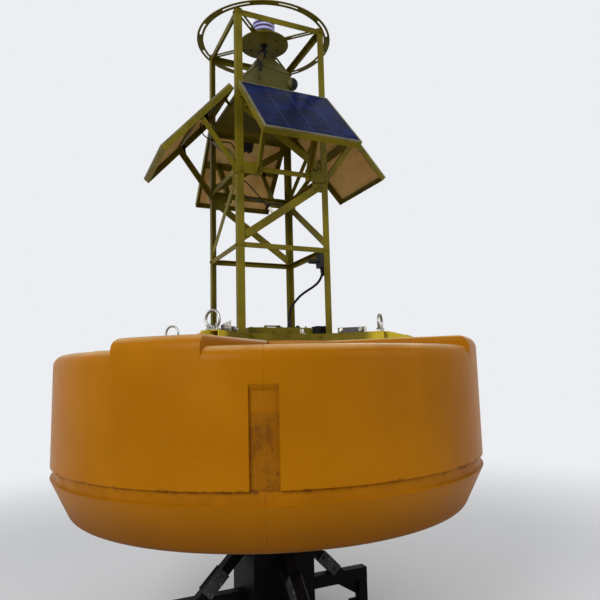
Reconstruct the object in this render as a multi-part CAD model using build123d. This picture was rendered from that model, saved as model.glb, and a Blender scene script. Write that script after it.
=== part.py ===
from build123d import *
import math
import os

# Water quality monitoring buoy, standing on its own lower frame.
# Millimetres, +Z up, origin on the floor under the middle of the float.
# The tower's sides lie along X and Y. Angles are azimuths in degrees from +X.

# Heights of the main levels above the floor
float_bottom = 790.0
band_bottom = 1002.0
band_top = 1058.0
strip_top = 1464.0
rim_height = 1620.0
level_1_height = 2216.0
level_2_height = 2665.0
tower_top = 3634.0
shelf_drop = 534.0
shelf_height = tower_top - shelf_drop

# Float
float_radius = 1200.0
chamfer_in = 105.0
bottom_fillet = 60.0
shoulder_fillet = 60.0
rib_width = 435.0
rib_rise = 50.0
rib_root = 200.0
rib_fillet = 27.0
boss_radius = 480.0
boss_slope = 45.0
recess_depth = 14.0
recess_slope = 6.0
strip_width = 122.0
strip_slope = 27.0
seam_gap = 1.0
seam_azimuth = 157.5
segment_arc = 90.0
rib_azimuth_from_seam = 67.5

# Centre well and lower frame
well_side = 360.0
well_wall = 8.0
well_bottom = 230.0
well_clearance = 2.0
float_flange_side = 720.0
float_flange_thickness = 10.0
beam_height = 70.0
beam_width = 60.0
leg_width = 56.0
leg_outer_radius = 610.0
foot_side = 150.0
foot_thickness = 12.0
foot_hole_radius = 7.0
foot_hole_offset = 48.0
strut_top = 573.0
strut_depth = 58.0
knee_reach = 150.0
knee_drop = 90.0
knee_thickness = 10.0
mooring_lug = (62.0, 64.0)
mooring_lug_middle = 92.0
mooring_hole_radius = 13.0
fish_plate = (150.0, 68.0, 8.0)
fish_plate_height = 62.0

# Deck
base_bar = 50.0
deck_thickness = 6.0
plinth_side = 400.0
plinth_height = 42.0
plinth_bevel = 8.0
hatch_y = 45.0
hatch_radius = 130.0
hatch_hole_radius = 108.0
hatch_thickness = 8.0
handle_length = 90.0
handle_bar = 12.0
handle_height = 16.0
handle_reach = 95.0
arm_width = 100.0
arm_wall = 5.0
arm_end_radius = 720.0
arm_open_depth = 120.0
foot_plate_thickness = 6.0
foot_plate_width = 120.0
foot_plate_start = 640.0
foot_plate_end = 880.0
gusset_thickness = 8.0
gusset_end_rise = 8.0
gusset_end_radius = 872.0
gusset_shoulder = 15.0
joint_plate = (160.0, 8.0, 33.0)
joint_plate_radius = 520.0

# Hatch hinge
hinge_pin_radius = 4.0
hinge_clearance = 0.05
hinge_eye_radius = 9.0
hinge_eye_width = 24.0
hinge_spacing = 120.0
hinge_cheek = 6.0
hinge_side_gap = 0.5
hinge_offset = 14.0
hinge_cheek_front = 8.0
hinge_cheek_back = 9.0

# Tower
tower_side = 572.0
post_leg = 40.0
post_wall = 4.0
bar_height = 30.0
bar_wall = 4.0
top_bar_height = 36.0
diagonal_width = 46.0
diagonal_wall = 4.0
diagonal_clearance = 4.0
gusset_lap = 16.0
gusset_plate = 95.0
gusset_drop = 76.0
gusset_margin = 2.0

# Top ring, cross bars, disc
ring_outer_radius = 430.0
ring_width = 40.0
ring_thickness = 5.0
ring_slit_width = 13.0
# azimuth of the first slit, arc of each slit; each row is repeated every 90 degrees
ring_slit_table = ((0.0, 17.0), (45.0, 25.0))
cross_width = 34.0
cross_slit = 11.0
cross_lap = 22.0
disc_radius = 158.0
disc_thickness = 9.0

# Lantern
lantern_base_radius = 64.0
lantern_base_height = 71.0
lantern_base_lip = 8.0
lantern_lens_radius = 74.0
lantern_lens_height = 96.0
lantern_lens_fillet = 40.0

# Shelf, instrument box with its hood, neck
shelf_thickness = 4.0
shelf_lip = 24.0
shelf_side_gap = 0.3
box_side = 250.0
box_height = 285.0
box_lid_thickness = 6.0
box_lid_overhang = 3.0
box_turn = 9.5
box_knob_radius = 42.0
box_knob_drop = 65.0
hood_height = 168.0
hood_top_side = 34.0
neck_radius = 14.0
neck_collar = (23.0, 16.0)
neck_flange = (27.0, 5.0)

# Solar panels
panel_rise = 57.0
panel_gap = 40.0
panel_width = 560.0
panel_length = 580.0
panel_tilt = 48.2
module_edge = 10.0
module_depth = 9.0
laminate_thickness = 5.0
laminate_drop = 1.5
panel_depth = 40.0
panel_frame_wall = 4.0
panel_seat = 25.0
cross_member_width = 50.0
cross_member_thickness = 5.0
prop_width = 30.0
prop_wall = 4.0
prop_foot_rise = 26.0
prop_plate = (6.0, 66.0)
prop_plate_margin = 2.0
prop_plate_rise = 4.0
# side's azimuth, distance of each prop from the panel's middle, its top end's distance down the slope
panel_prop_table = ((270.0, 170.0, 200.0), (0.0, 272.0, 258.0),
                    (90.0, 170.0, 262.0), (180.0, 272.0, 258.0))
bracket_thickness = 6.0
bracket_offset = 150.0
bracket_drop = 24.0
bracket_top_gap = 2.0
junction_box = (76.0, 78.0, 22.0)
# side's azimuth, distance from the panel's middle, distance of the box's middle down the slope
junction_box_table = ((270.0, 0.0, 95.0), (0.0, 0.0, 95.0),
                      (90.0, -8.0, 84.0), (180.0, 155.0, 136.0))

# Deck fittings and cables
# x, y, radius, height of each cable gland on the plinth
gland_table = ((67.0, -165.0, 13.0, 48.0), (-3.0, -165.0, 12.0, 14.0), (119.0, -165.0, 12.0, 14.0))
deck_box = (70.0, 70.0, 46.0)
deck_box_place = (244.0, -205.0)
cable_joint = (60.0, 84.0)
cable_joint_drop = 17.0
cable_plug = (14.0, 44.0)
cable_plug_stem = (6.0, 16.0)
cable_plug_drop = 48.0
clip_side = 20.0
connector = (40.0, 14.0, 14.0)
main_cable_diameter = 15.0
lead_diameter = 7.0

# Lifting rings
# name, azimuth on the deck, azimuth that the ring's hole faces
lifting_ring_table = (("a", 225.0, 211.0), ("b", 315.0, 315.0), ("c", 45.0, 335.0), ("d", 135.0, 225.0))
lifting_ring_radius_from_axis = 690.0
lifting_ring_outer = 106.0
lifting_ring_bar = 14.0
lifting_saddle = (44.0, 26.0, 12.0)

rib_top = rim_height + rib_rise
deck_top = rib_top + base_bar
plinth_top = deck_top + plinth_height
disc_top = tower_top - ring_thickness
tower_half = tower_side / 2
tower_inner = tower_half - post_wall
box_top = shelf_height + shelf_thickness + box_height + box_lid_thickness
panel_top_height = shelf_height + panel_rise
cable_joint_top = level_1_height - cable_joint_drop
side_azimuths = (270.0, 0.0, 90.0, 180.0)
corner_azimuths = (225.0, 315.0, 45.0, 135.0)


# Where the leads are clipped, three on post a and one on post c: x, y, height above level 2
clip_table = ((-262.0, -272.0, 37.0), (-262.0, -272.0, -65.0),
              (-262.0, -272.0, -145.0), (262.0, 272.0, -29.0))

# Main cable's route: x, y, share of the rise from the tall gland to the joint
main_cable_table = ((67, -165, 0.0), (67, -165, 0.118), (80, -168, 0.243), (104, -174, 0.361),
                    (136, -183, 0.479), (172, -195, 0.564), (205, -211, 0.636), (231, -229, 0.715),
                    (245, -244, 0.813), (251, -251, 0.911), (251, -251, 1.0))

# Leads' routes from panel, box or clip to where they end: x, y, height above level 2
left_lead_table = ((-462, -156, 279), (-460, -152, 243), (-438, -132, 217), (-396, -104, 213),
                   (-352, -66, 223), (-316, -50, 229), (-290, -54, 232), (-269, -69, 227),
                   (-258, -92, 213), (-257, -122, 189), (-256, -160, 147), (-259, -198, 101),
                   (-261, -232, 61), (-262, -259.8, 40))
front_lead_table = ((-249.6, -271, -65), (-222, -271, -89), (-186, -271, -124), (-148, -271, -161),
                    (-115, -271, -197), (-93, -271, -219))
cross_lead_table = ((-251.3, -262.3, -145), (-216, -228, -151), (-156, -164, -143), (-92, -92, -127),
                    (-24, -22, -107), (46, 52, -85), (116, 124, -63), (180, 192, -43), (224, 236, -31),
                    (251.3, 262.3, -29))


def turn(azimuth, shape):
    return Rot(0, 0, azimuth) * shape


def block(x0, x1, y0, y1, z0, z1):
    return Pos((x0 + x1) / 2, (y0 + y1) / 2, (z0 + z1) / 2) * Box(x1 - x0, y1 - y0, z1 - z0)


def polygon_plate(plane, points, thickness):
    """A flat plate: the outline in the plane's own axes, thickened equally to both sides."""
    outline = make_face(Polyline(*points, close=True))
    return extrude(plane * outline, amount=thickness / 2, both=True)


def from_level_2(table):
    return [(x, y, level_2_height + z) for x, y, z in table]


def pick(sketch, x, y):
    return min(sketch.vertices(), key=lambda v: (v.X - x) ** 2 + (v.Y - y) ** 2)


# Float: four moulded segments round the centre well

def float_blank(top, with_boss):
    """The float's outline in (radius, height), turned about the axis."""
    points = [(0, float_bottom), (float_radius - chamfer_in, float_bottom)]
    points += [(float_radius, band_bottom), (float_radius - recess_depth, band_bottom + recess_slope)]
    points += [(float_radius - recess_depth, band_top - recess_slope), (float_radius, band_top)]
    points += [(float_radius, top)]
    if with_boss:
        points += [(boss_radius + boss_slope, top), (boss_radius, rib_top), (0, rib_top)]
    else:
        points += [(0, top)]
    outline = make_face(Polyline(*points, close=True))
    outline = fillet(pick(outline, float_radius - chamfer_in, float_bottom), bottom_fillet)
    outline = fillet(pick(outline, float_radius, top), shoulder_fillet)
    return revolve(Plane.XZ * outline, Axis.Z, 360)


def strip_cut(start, arc):
    inner = float_radius - recess_depth
    outer = float_radius + 10
    points = [(inner, band_top - recess_slope * 1.5), (inner, strip_top - strip_slope)]
    points += [(float_radius, strip_top), (outer, strip_top), (outer, band_top - recess_slope * 1.5)]
    outline = make_face(Polyline(*points, close=True))
    return turn(start, revolve(Plane.XZ * outline, Axis.Z, arc))


def float_segment():
    """One quarter with its raised rib, built from azimuth 0 round to segment_arc."""
    body = float_blank(rim_height, True)
    rib = Rectangle(rib_width, rib_rise + rib_root)
    rib = Pos(0, rib_top - (rib_rise + rib_root) / 2) * rib
    rib = fillet(rib.vertices().sort_by(Axis.Y)[-2:], rib_fillet)
    rib = extrude(Plane.YZ * rib, amount=float_radius + 20)
    rib = turn(rib_azimuth_from_seam, rib) & float_blank(rib_top, False)
    reach = float_radius * 1.5
    body = (body + rib) & block(0, reach, 0, reach, 0, rib_top + 10)
    gap = seam_gap / 2
    body -= block(-10, float_radius + 10, -10, gap, 0, rib_top + 10)
    body -= block(-10, gap, -10, float_radius + 10, 0, rib_top + 10)
    half_strip = math.degrees(strip_width / 2 / float_radius)
    body -= strip_cut(0, half_strip)
    body -= strip_cut(segment_arc - half_strip, half_strip)
    return body


# Centre well: a square steel duct through the float, and the flange that the float sits on

def centre_well():
    half = well_side / 2
    inner = half - well_wall
    duct = block(-half, half, -half, half, well_bottom, deck_top - deck_thickness)
    return duct - block(-inner, inner, -inner, inner, well_bottom + well_wall, deck_top)


def float_flange():
    half = well_side / 2
    outer = float_flange_side / 2
    low = float_bottom - float_flange_thickness
    flange = block(-outer, outer, -outer, outer, low, float_bottom)
    return flange - block(-half, half, -half, half, low - 1, float_bottom + 1)


def frame_leg():
    """One side of the lower frame, built along +X: beam, leg, knee, mooring lug and foot."""
    half = well_side / 2
    beam_top = well_bottom + beam_height
    beam = block(half, leg_outer_radius, -beam_width / 2, beam_width / 2, well_bottom, beam_top)
    knee_x = leg_outer_radius - leg_width
    leg = block(knee_x, leg_outer_radius, -leg_width / 2, leg_width / 2, foot_thickness, beam_top)
    knee_points = [(knee_x, well_bottom), (knee_x - knee_reach, well_bottom)]
    knee_points += [(knee_x, well_bottom - knee_drop)]
    knee = polygon_plate(Plane.XZ, knee_points, knee_thickness)
    lug_reach, lug_height = mooring_lug
    lug = Pos(knee_x - lug_reach / 2, 0, mooring_lug_middle)
    eye = lug * Rot(90, 0, 0) * Cylinder(mooring_hole_radius, knee_thickness * 4)
    lug = lug * Box(lug_reach, knee_thickness, lug_height) - eye
    foot_x = leg_outer_radius - leg_width / 2
    foot = Pos(foot_x, 0, foot_thickness / 2) * Box(foot_side, foot_side, foot_thickness)
    hole_x = foot_x + foot_hole_offset
    foot -= Pos(hole_x, 0, foot_thickness / 2) * Cylinder(foot_hole_radius, foot_thickness * 2)
    return beam + leg + knee + lug + foot


def frame_strut():
    """Slanting brace from the well's side down to the beam, built along +X."""
    half = well_side / 2
    beam_top = well_bottom + beam_height
    run = strut_top - beam_top
    back = strut_depth * math.sqrt(2)
    points = [(half, strut_top), (half + run, beam_top)]
    points += [(half + run - back, beam_top), (half, strut_top - back)]
    return polygon_plate(Plane.XZ, points, beam_width)


def fish_plates():
    """Bolted plates on both sides of the braces, one pair at each lower end."""
    length, width, thickness = fish_plate
    beam_top = well_bottom + beam_height
    middle_z = beam_top + fish_plate_height
    middle_x = well_side / 2 + strut_top - middle_z - strut_depth / math.sqrt(2)
    plates = []
    for azimuth in side_azimuths:
        for side in (-1, 1):
            plate = Pos(middle_x, side * (beam_width + thickness) / 2, middle_z)
            plates.append(turn(azimuth, plate * Rot(0, 45, 0) * Box(length, thickness, width)))
    return plates


# Deck: base frame over the well, and four arms lying on the float's ribs

def base_frame():
    half = tower_half
    inner = half - base_bar
    frame = block(-half, half, -half, half, rib_top, deck_top)
    frame -= block(-inner, inner, -inner, inner, rib_top, deck_top - deck_thickness)
    return frame - Pos(0, hatch_y, deck_top) * Cylinder(hatch_hole_radius, deck_thickness * 4)


def deck_arm():
    """An arm with its foot plate and upright gusset, built along +X before it is cut to the base frame."""
    half = arm_width / 2
    open_start = arm_end_radius - arm_open_depth
    foot_top = rib_top + foot_plate_thickness
    arm = block(tower_half, arm_end_radius, -half, half, rib_top, deck_top)
    arm -= block(open_start, arm_end_radius + 1, -half + arm_wall, half - arm_wall,
                 foot_top + arm_wall, deck_top - arm_wall)
    plate = block(foot_plate_start, foot_plate_end, -foot_plate_width / 2, foot_plate_width / 2,
                  rib_top, foot_top)
    rise = [(open_start, rib_top + 2), (gusset_end_radius, rib_top + 2)]
    rise += [(gusset_end_radius, foot_top + gusset_end_rise)]
    rise += [(arm_end_radius + gusset_shoulder, deck_top), (open_start, deck_top)]
    return arm + plate + polygon_plate(Plane.XZ, rise, gusset_thickness)


def deck_arms():
    arm = deck_arm()
    half = tower_half
    deck = block(-half, half, -half, half, rib_top - 1, deck_top + 1)
    return [turn(azimuth, arm) - deck for azimuth in corner_azimuths]


def joint_plates():
    """Upright plates where each arm is bolted to the deck."""
    length, thickness, height = joint_plate
    plate = Pos(joint_plate_radius, 0, deck_top + height / 2) * Box(length, thickness, height)
    return [turn(azimuth, plate) for azimuth in corner_azimuths]


# Raised plinth on the deck, with the hatch over the well and its hinge at the back

def hatch_plinth():
    plinth = Pos(0, 0, deck_top + plinth_height / 2) * Box(plinth_side, plinth_side, plinth_height)
    plinth = chamfer(plinth.edges().group_by(Axis.Z)[-1], plinth_bevel)
    return plinth - Pos(0, hatch_y, plinth_top) * Cylinder(hatch_hole_radius, plinth_height * 4)


def hinge_axis():
    return hatch_y + hatch_radius + hinge_offset, plinth_top + hatch_thickness + hinge_eye_radius - 3


def hatch_lid():
    hinge_y, hinge_z = hinge_axis()
    lid_top = plinth_top + hatch_thickness
    lid = Pos(0, hatch_y, plinth_top + hatch_thickness / 2) * Cylinder(hatch_radius, hatch_thickness)
    for x in (-hinge_spacing / 2, hinge_spacing / 2):
        arm = block(x - hinge_eye_width / 2, x + hinge_eye_width / 2, hatch_y + hatch_radius * 0.8, hinge_y,
                    plinth_top + 1, lid_top + 4)
        eye = Pos(x, hinge_y, hinge_z) * Rot(0, 90, 0) * Cylinder(hinge_eye_radius, hinge_eye_width)
        hole = Pos(x, hinge_y, hinge_z) * Rot(0, 90, 0)
        lid += arm + eye
        lid -= hole * Cylinder(hinge_pin_radius + hinge_clearance, hinge_eye_width * 2)
    half = handle_length / 2
    near = hatch_y - handle_reach
    handle = block(-half, half, near, near + handle_bar, lid_top, lid_top + handle_height)
    gap = half - handle_bar
    handle -= block(-gap, gap, near - 1, near + handle_bar + 1, lid_top, lid_top + handle_height / 2)
    return lid + handle


def hatch_hinge():
    """Pins and cheeks that stand on the plinth."""
    hinge_y, hinge_z = hinge_axis()
    reach = hinge_eye_width / 2 + hinge_side_gap + hinge_cheek
    parts = []
    for x in (-hinge_spacing / 2, hinge_spacing / 2):
        piece = Pos(x, hinge_y, hinge_z) * Rot(0, 90, 0) * Cylinder(hinge_pin_radius, reach * 2)
        for side in (-1, 1):
            inner = x + side * (hinge_eye_width / 2 + hinge_side_gap)
            outer = inner + side * hinge_cheek
            piece += block(min(inner, outer), max(inner, outer), hinge_y - hinge_cheek_front,
                           hinge_y + hinge_cheek_back, plinth_top, hinge_z + hinge_pin_radius * 2)
        parts.append(piece)
    return parts


# Tower

def post(corner_azimuth):
    """Angle section, built with its corner at (-,-) and turned to its place."""
    half = tower_half
    angle = block(-half, -half + post_leg, -half, -half + post_wall, deck_top, tower_top)
    angle += block(-half, -half + post_wall, -half, -half + post_leg, deck_top, tower_top)
    return turn(corner_azimuth - 225.0, angle)


def level_bars(middle_height, height):
    """Four angle bars inside the posts' flanges, seated on them."""
    half = tower_inner
    low = middle_height - height / 2
    high = middle_height + height / 2
    bars = []
    for azimuth, trim in ((270.0, 0.0), (0.0, bar_height), (90.0, 0.0), (180.0, bar_height)):
        length = half - trim
        upright = block(-length, length, -half, -half + bar_wall, low, high)
        ledge = block(-length, length, -half, -half + bar_height, high - bar_wall, high)
        bars.append(turn(azimuth - 270.0, upright + ledge))
    return bars


def face_diagonals(low_level, high_level, lean):
    """One flat diagonal on each face between two levels; lean 1 is high at the face's right end."""
    low = low_level + bar_height / 2 + diagonal_clearance
    high = high_level - bar_height / 2 - diagonal_clearance
    inner = tower_inner - post_leg + gusset_lap
    rise = math.atan2(high - low - diagonal_width, 2 * inner)
    length = 2 * inner / math.cos(rise)
    flat = Pos(0, -tower_inner + diagonal_wall / 2, (low + high) / 2)
    flat = flat * Rot(0, -lean * math.degrees(rise), 0) * Box(length, diagonal_wall, diagonal_width)
    return [turn(azimuth - 270.0, flat) for azimuth in side_azimuths]


def lower_diagonals():
    """The lower bay's flats, each with a gusset plate in its high corner."""
    high = level_2_height - bar_height / 2 - diagonal_clearance
    plate = block(tower_inner - gusset_plate, tower_inner - gusset_margin,
                  -tower_inner, -tower_inner + diagonal_wall, high - gusset_drop, high + gusset_margin)
    flats = face_diagonals(level_1_height, level_2_height, 1)
    return [flat + turn(azimuth - 270.0, plate) for azimuth, flat in zip(side_azimuths, flats)]


# Top ring, cross bars, disc

def guard_ring():
    inner = ring_outer_radius - ring_width
    ring = Circle(ring_outer_radius) - Circle(inner)
    middle = ring_outer_radius - ring_width / 2
    for first, arc in ring_slit_table:
        for quarter in range(4):
            start = first + 90.0 * quarter - arc / 2
            ring -= trace(CenterArc((0, 0), middle, start, arc), ring_slit_width)
    return Pos(0, 0, tower_top) * extrude(ring, amount=ring_thickness)


def cross_bars():
    """Four slit flats from the tower's corners in over the disc's edge."""
    reach = tower_inner * math.sqrt(2) - cross_width / 2
    start = disc_radius - cross_lap
    middle = (start + reach) / 2
    bar = Pos(middle, 0) * Rectangle(reach - start, cross_width)
    bar -= Pos(middle + cross_lap / 2, 0) * SlotOverall((reach - start) * 0.62, cross_slit)
    bar = Pos(0, 0, disc_top) * extrude(bar, amount=ring_thickness)
    return [turn(azimuth, bar) for azimuth in corner_azimuths]


def lantern_disc():
    return Pos(0, 0, disc_top - disc_thickness / 2) * Cylinder(disc_radius, disc_thickness)


def lantern_base():
    foot = Pos(0, 0, disc_top + lantern_base_lip / 2) * Cylinder(lantern_base_radius, lantern_base_lip)
    drum_height = lantern_base_height - lantern_base_lip
    drum = Pos(0, 0, disc_top + lantern_base_lip + drum_height / 2)
    return foot + drum * Cylinder(lantern_base_radius - lantern_base_lip, drum_height)


def lantern_lens():
    low = disc_top + lantern_base_height
    high = low + lantern_lens_height
    outline = make_face(Polyline((0, low), (lantern_lens_radius, low), (lantern_lens_radius, high), (0, high),
                                 close=True))
    outline = fillet(pick(outline, lantern_lens_radius, high), lantern_lens_fillet)
    return revolve(Plane.XZ * outline, Axis.Z, 360)


# Shelf, instrument box with its hood, neck

def shelf():
    half = tower_inner - bar_wall - shelf_side_gap
    plate = block(-half, half, -half, half, shelf_height, shelf_height + shelf_thickness)
    lip = block(-half + post_leg, half - post_leg, -half, -half + shelf_thickness,
                shelf_height, shelf_height + shelf_lip)
    for azimuth in side_azimuths:
        plate += turn(azimuth - 270.0, lip)
    notch = half - post_leg
    corner = block(notch, tower_half, notch, tower_half, shelf_height - 1, shelf_height + shelf_lip + 1)
    for azimuth in side_azimuths:
        plate -= turn(azimuth, corner)
    return plate


def instrument_box():
    low = shelf_height + shelf_thickness
    shell = Pos(0, 0, low + box_height / 2) * Box(box_side, box_side, box_height)
    shell = fillet(shell.edges().filter_by(Axis.Z), 8)
    lid_side = box_side + 2 * box_lid_overhang
    lid = Pos(0, 0, low + box_height + box_lid_thickness / 2) * Box(lid_side, lid_side, box_lid_thickness)
    return turn(box_turn, shell + lid)


def corner_knob():
    """Round knob let into the box's corner towards +X -Y, under the lid."""
    place = box_side / 2
    middle = box_top - box_knob_drop
    shell = Pos(0, 0, middle) * Box(box_side, box_side, box_knob_radius * 4)
    return turn(box_turn, Pos(place, -place, middle) * Sphere(box_knob_radius) - shell)


def box_hood():
    """Four-sided hood that narrows from the box up to the neck."""
    low = Plane.XY.offset(box_top) * Rectangle(box_side, box_side)
    high = Plane.XY.offset(box_top + hood_height) * Rectangle(hood_top_side, hood_top_side)
    return turn(box_turn, loft([low, high]))


def neck():
    """Short pipe from the hood up to the disc, with a collar at its foot and a flange at its top."""
    low = box_top + hood_height
    high = disc_top - disc_thickness
    collar_radius, collar_height = neck_collar
    flange_radius, flange_height = neck_flange
    pipe = Pos(0, 0, (low + high) / 2) * Cylinder(neck_radius, high - low)
    pipe += Pos(0, 0, low + collar_height / 2) * Cylinder(collar_radius, collar_height)
    return pipe + Pos(0, 0, high - flange_height / 2) * Cylinder(flange_radius, flange_height)


# Solar panels: built over the -Y face and turned to each side

def panel_plane():
    """Origin at the middle of the top edge; x along the edge, -y down the slope, z out of the glass."""
    tilt = math.radians(panel_tilt)
    normal = Vector(0, -math.sin(tilt), math.cos(tilt))
    return Plane(origin=(0, -(tower_half + panel_gap), panel_top_height), x_dir=(1, 0, 0), z_dir=normal)


def panel_layer(inset, top, bottom):
    """A full layer of the panel, inset from its edge, between two depths under the glass plane."""
    sheet = Pos(0, -panel_length / 2) * Rectangle(panel_width - 2 * inset, panel_length - 2 * inset)
    return extrude(panel_plane().offset(-top) * sheet, amount=top - bottom)


def panel_frame():
    """Steel angle round the panel: a seat under the module and a web down its edge."""
    seat_low = module_depth + panel_frame_wall
    frame = panel_layer(0, module_depth, panel_depth)
    frame -= panel_layer(panel_frame_wall, seat_low, panel_depth + 1)
    return frame - panel_layer(panel_seat, module_depth - 1, seat_low + 1)


def module_edge_ring():
    return panel_layer(0, 0, module_depth) - panel_layer(module_edge, -1, module_depth + 1)


def panel_laminate():
    return panel_layer(module_edge, laminate_drop, laminate_drop + laminate_thickness)


def junction_box_solid(offset, down_slope):
    width, length, depth = junction_box
    plane = panel_plane().offset(-laminate_drop - laminate_thickness)
    return extrude(plane * Pos(offset, -down_slope) * Rectangle(width, length), amount=-depth)


def cross_member(down_slope):
    plane = panel_plane().offset(-module_depth - panel_frame_wall)
    width = panel_width - 2 * panel_frame_wall
    flat = Pos(0, -down_slope) * Rectangle(width, cross_member_width)
    return extrude(plane * flat, amount=-cross_member_thickness)


def crossing(point, direction, other, other_direction):
    """Where two lines in the YZ plane meet."""
    (y, z), (dy, dz) = point, direction
    (v, w), (dv, dw) = other, other_direction
    t = ((v - y) * dw - (w - z) * dv) / (dy * dw - dz * dv)
    return y + t * dy, z + t * dz


def prop_slice(down_slope, outer, inner):
    """A prop's outline seen from the side, cut to the foot plate and to the cross member's underside."""
    depth = module_depth + panel_frame_wall + cross_member_thickness
    plane = panel_plane()
    seat = plane.from_local_coords(Vector(0, -down_slope, -depth))
    lower = plane.from_local_coords(Vector(0, -down_slope - 100, -depth))
    foot_y = -tower_half - prop_plate[0]
    foot_z = level_2_height + prop_foot_rise
    run_y, run_z = seat.Y - foot_y, seat.Z - foot_z
    length = math.hypot(run_y, run_z)
    side = (run_z / length, -run_y / length)
    points = []
    for shift in (outer, inner):
        start = (foot_y - side[0] * shift, foot_z - side[1] * shift)
        low = crossing(start, (run_y, run_z), (foot_y, 0), (0, 1))
        high = crossing(start, (run_y, run_z), (seat.Y, seat.Z), (lower.Y - seat.Y, lower.Z - seat.Z))
        points += [low, high] if shift == outer else [high, low]
    return points


def panel_props(offset, down_slope):
    """Two angle props from plates at level 2 up to the panel's cross member."""
    plate_wall, plate_height = prop_plate
    outer_y = -tower_half - plate_wall
    plate_high = level_2_height + prop_foot_rise + prop_plate_rise
    parts = []
    for side in (-1, 1):
        web = prop_slice(down_slope, 0, prop_width)
        web = polygon_plate(Plane.YZ.offset(side * offset), web, prop_wall)
        middle = side * (offset - prop_width / 2)
        flange = prop_slice(down_slope, 0, prop_wall)
        flange = polygon_plate(Plane.YZ.offset(middle), flange, prop_width)
        near = min(offset - prop_width - prop_plate_margin, tower_half - post_leg)
        low_x, high_x = sorted((side * near, side * tower_half))
        plate = block(low_x, high_x, outer_y, outer_y + plate_wall, plate_high - plate_height, plate_high)
        parts.append(web + flange + plate)
    return parts


def panel_brackets():
    """Plates from the shelf's bars up into the panel frame's top channel."""
    plane = panel_plane()
    seat = -module_depth - panel_frame_wall
    points = [(-tower_inner, shelf_height - bracket_drop), (-tower_inner, shelf_height - bracket_top_gap)]
    for down, depth in ((panel_frame_wall, -panel_depth), (panel_frame_wall, seat), (panel_seat, seat),
                        (panel_seat, -panel_depth)):
        corner = plane.from_local_coords(Vector(0, -down, depth))
        points.append((corner.Y, corner.Z))
    return [polygon_plate(Plane.YZ.offset(offset), points, bracket_thickness)
            for offset in (-bracket_offset, bracket_offset)]


# Deck fittings, clips and cables

def cable_glands():
    """Glands on the plinth; each tapers to its top."""
    glands = []
    for x, y, radius, height in gland_table:
        foot = Pos(x, y, plinth_top + height / 4) * Cylinder(radius, height / 2)
        glands.append(foot + Pos(x, y, plinth_top + height * 0.75) * Cone(radius, radius * 0.7, height / 2))
    return glands


def deck_box_solid():
    length, width, height = deck_box
    x, y = deck_box_place
    return Pos(x, y, deck_top + height / 2) * Box(length, width, height)


def cable_joint_solid():
    """Block in the corner of post b, with a plug at its side."""
    side, height = cable_joint
    near = tower_inner - side
    body = block(near, tower_inner, -tower_inner, -near, cable_joint_top - height, cable_joint_top)
    body = fillet(body.edges().filter_by(Axis.Z), 6)
    plug_radius, plug_length = cable_plug
    stem_radius, stem_length = cable_plug_stem
    middle = Pos(near, -tower_inner + side / 2, cable_joint_top - cable_plug_drop)
    body += middle * Pos(-stem_length / 2, 0, 0) * Rot(0, 90, 0) * Cylinder(stem_radius, stem_length + 2)
    plug = Rot(0, 90, 0) * Cylinder(plug_radius, plug_length)
    return body + middle * Pos(-stem_length - plug_length / 2, 0, 0) * plug


def cable_clips():
    """Small blocks in the posts' corners where the leads are held."""
    half = clip_side / 2
    clips = []
    for x, y, z in from_level_2(clip_table):
        clips.append(block(x - half, x + half, y - half, y + half, z - half, z + half))
    return clips


def lead_connector():
    """Plug at the end of the front lead, in line with its last run."""
    length, width, height = connector
    before, end = [Vector(*point) for point in from_level_2(front_lead_table)[-2:]]
    along = (end - before).normalized()
    middle = end + along * (length / 2)
    return Plane(origin=middle, x_dir=along, z_dir=Vector(0, 1, 0)) * Box(length, height, width)


def main_cable_route():
    low = plinth_top + gland_table[0][3]
    high = cable_joint_top - cable_joint[1]
    return [(x, y, low + share * (high - low)) for x, y, share in main_cable_table]


def cord(route, diameter):
    """A tube along the route, with each corner's arc as large as its two runs allow."""
    points = [Vector(*p) for p in route]
    radii = []
    for before, corner, after in zip(points, points[1:], points[2:]):
        turn_angle = math.radians((corner - before).get_angle(after - corner))
        run = min((corner - before).length, (after - corner).length)
        radii.append(0.45 * run / math.tan(turn_angle / 2))
    print("radii over diameter:", [round(r / diameter, 1) for r in radii])
    path = FilletPolyline(*points, radius=radii)
    section = Plane(origin=path @ 0, z_dir=path % 0) * Circle(diameter / 2)
    tube = sweep(section, path=path)
    expected = math.pi * diameter ** 2 / 4 * path.length
    print("tube length", round(path.length), "volume over expected", round(tube.volume / expected, 3))
    return tube


# Lifting rings, standing on the arms

def lifting_ring(azimuth, normal):
    length, width, height = lifting_saddle
    x = lifting_ring_radius_from_axis * math.cos(math.radians(azimuth))
    y = lifting_ring_radius_from_axis * math.sin(math.radians(azimuth))
    torus = Torus((lifting_ring_outer - lifting_ring_bar) / 2, lifting_ring_bar / 2)
    ring = Pos(x, y, deck_top + lifting_ring_outer / 2) * Rot(0, 0, normal) * Rot(0, 90, 0) * torus
    saddle = Pos(x, y, deck_top + height / 2) * Rot(0, 0, normal) * Box(width, length, height)
    return ring + saddle


def save(name, shape):
    if isinstance(shape, (list, tuple)):
        shape = Compound(children=list(shape))
    export_step(shape, f"parts/{name}.step")


os.makedirs("parts", exist_ok=True)

segment = float_segment()
well_hole = block(-well_side / 2 - well_clearance, well_side / 2 + well_clearance,
                  -well_side / 2 - well_clearance, well_side / 2 + well_clearance, 0, rib_top + 10)
for k in range(4):
    save(f"float_segment_{k + 1}", turn(seam_azimuth + segment_arc * k, segment) - well_hole)

save("centre_well", centre_well())
save("float_flange", float_flange())
for k, azimuth in enumerate(side_azimuths):
    save(f"frame_leg_{k + 1}", turn(azimuth, frame_leg()))
save("frame_struts", [turn(azimuth, frame_strut()) for azimuth in side_azimuths])
save("fish_plates", fish_plates())

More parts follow.
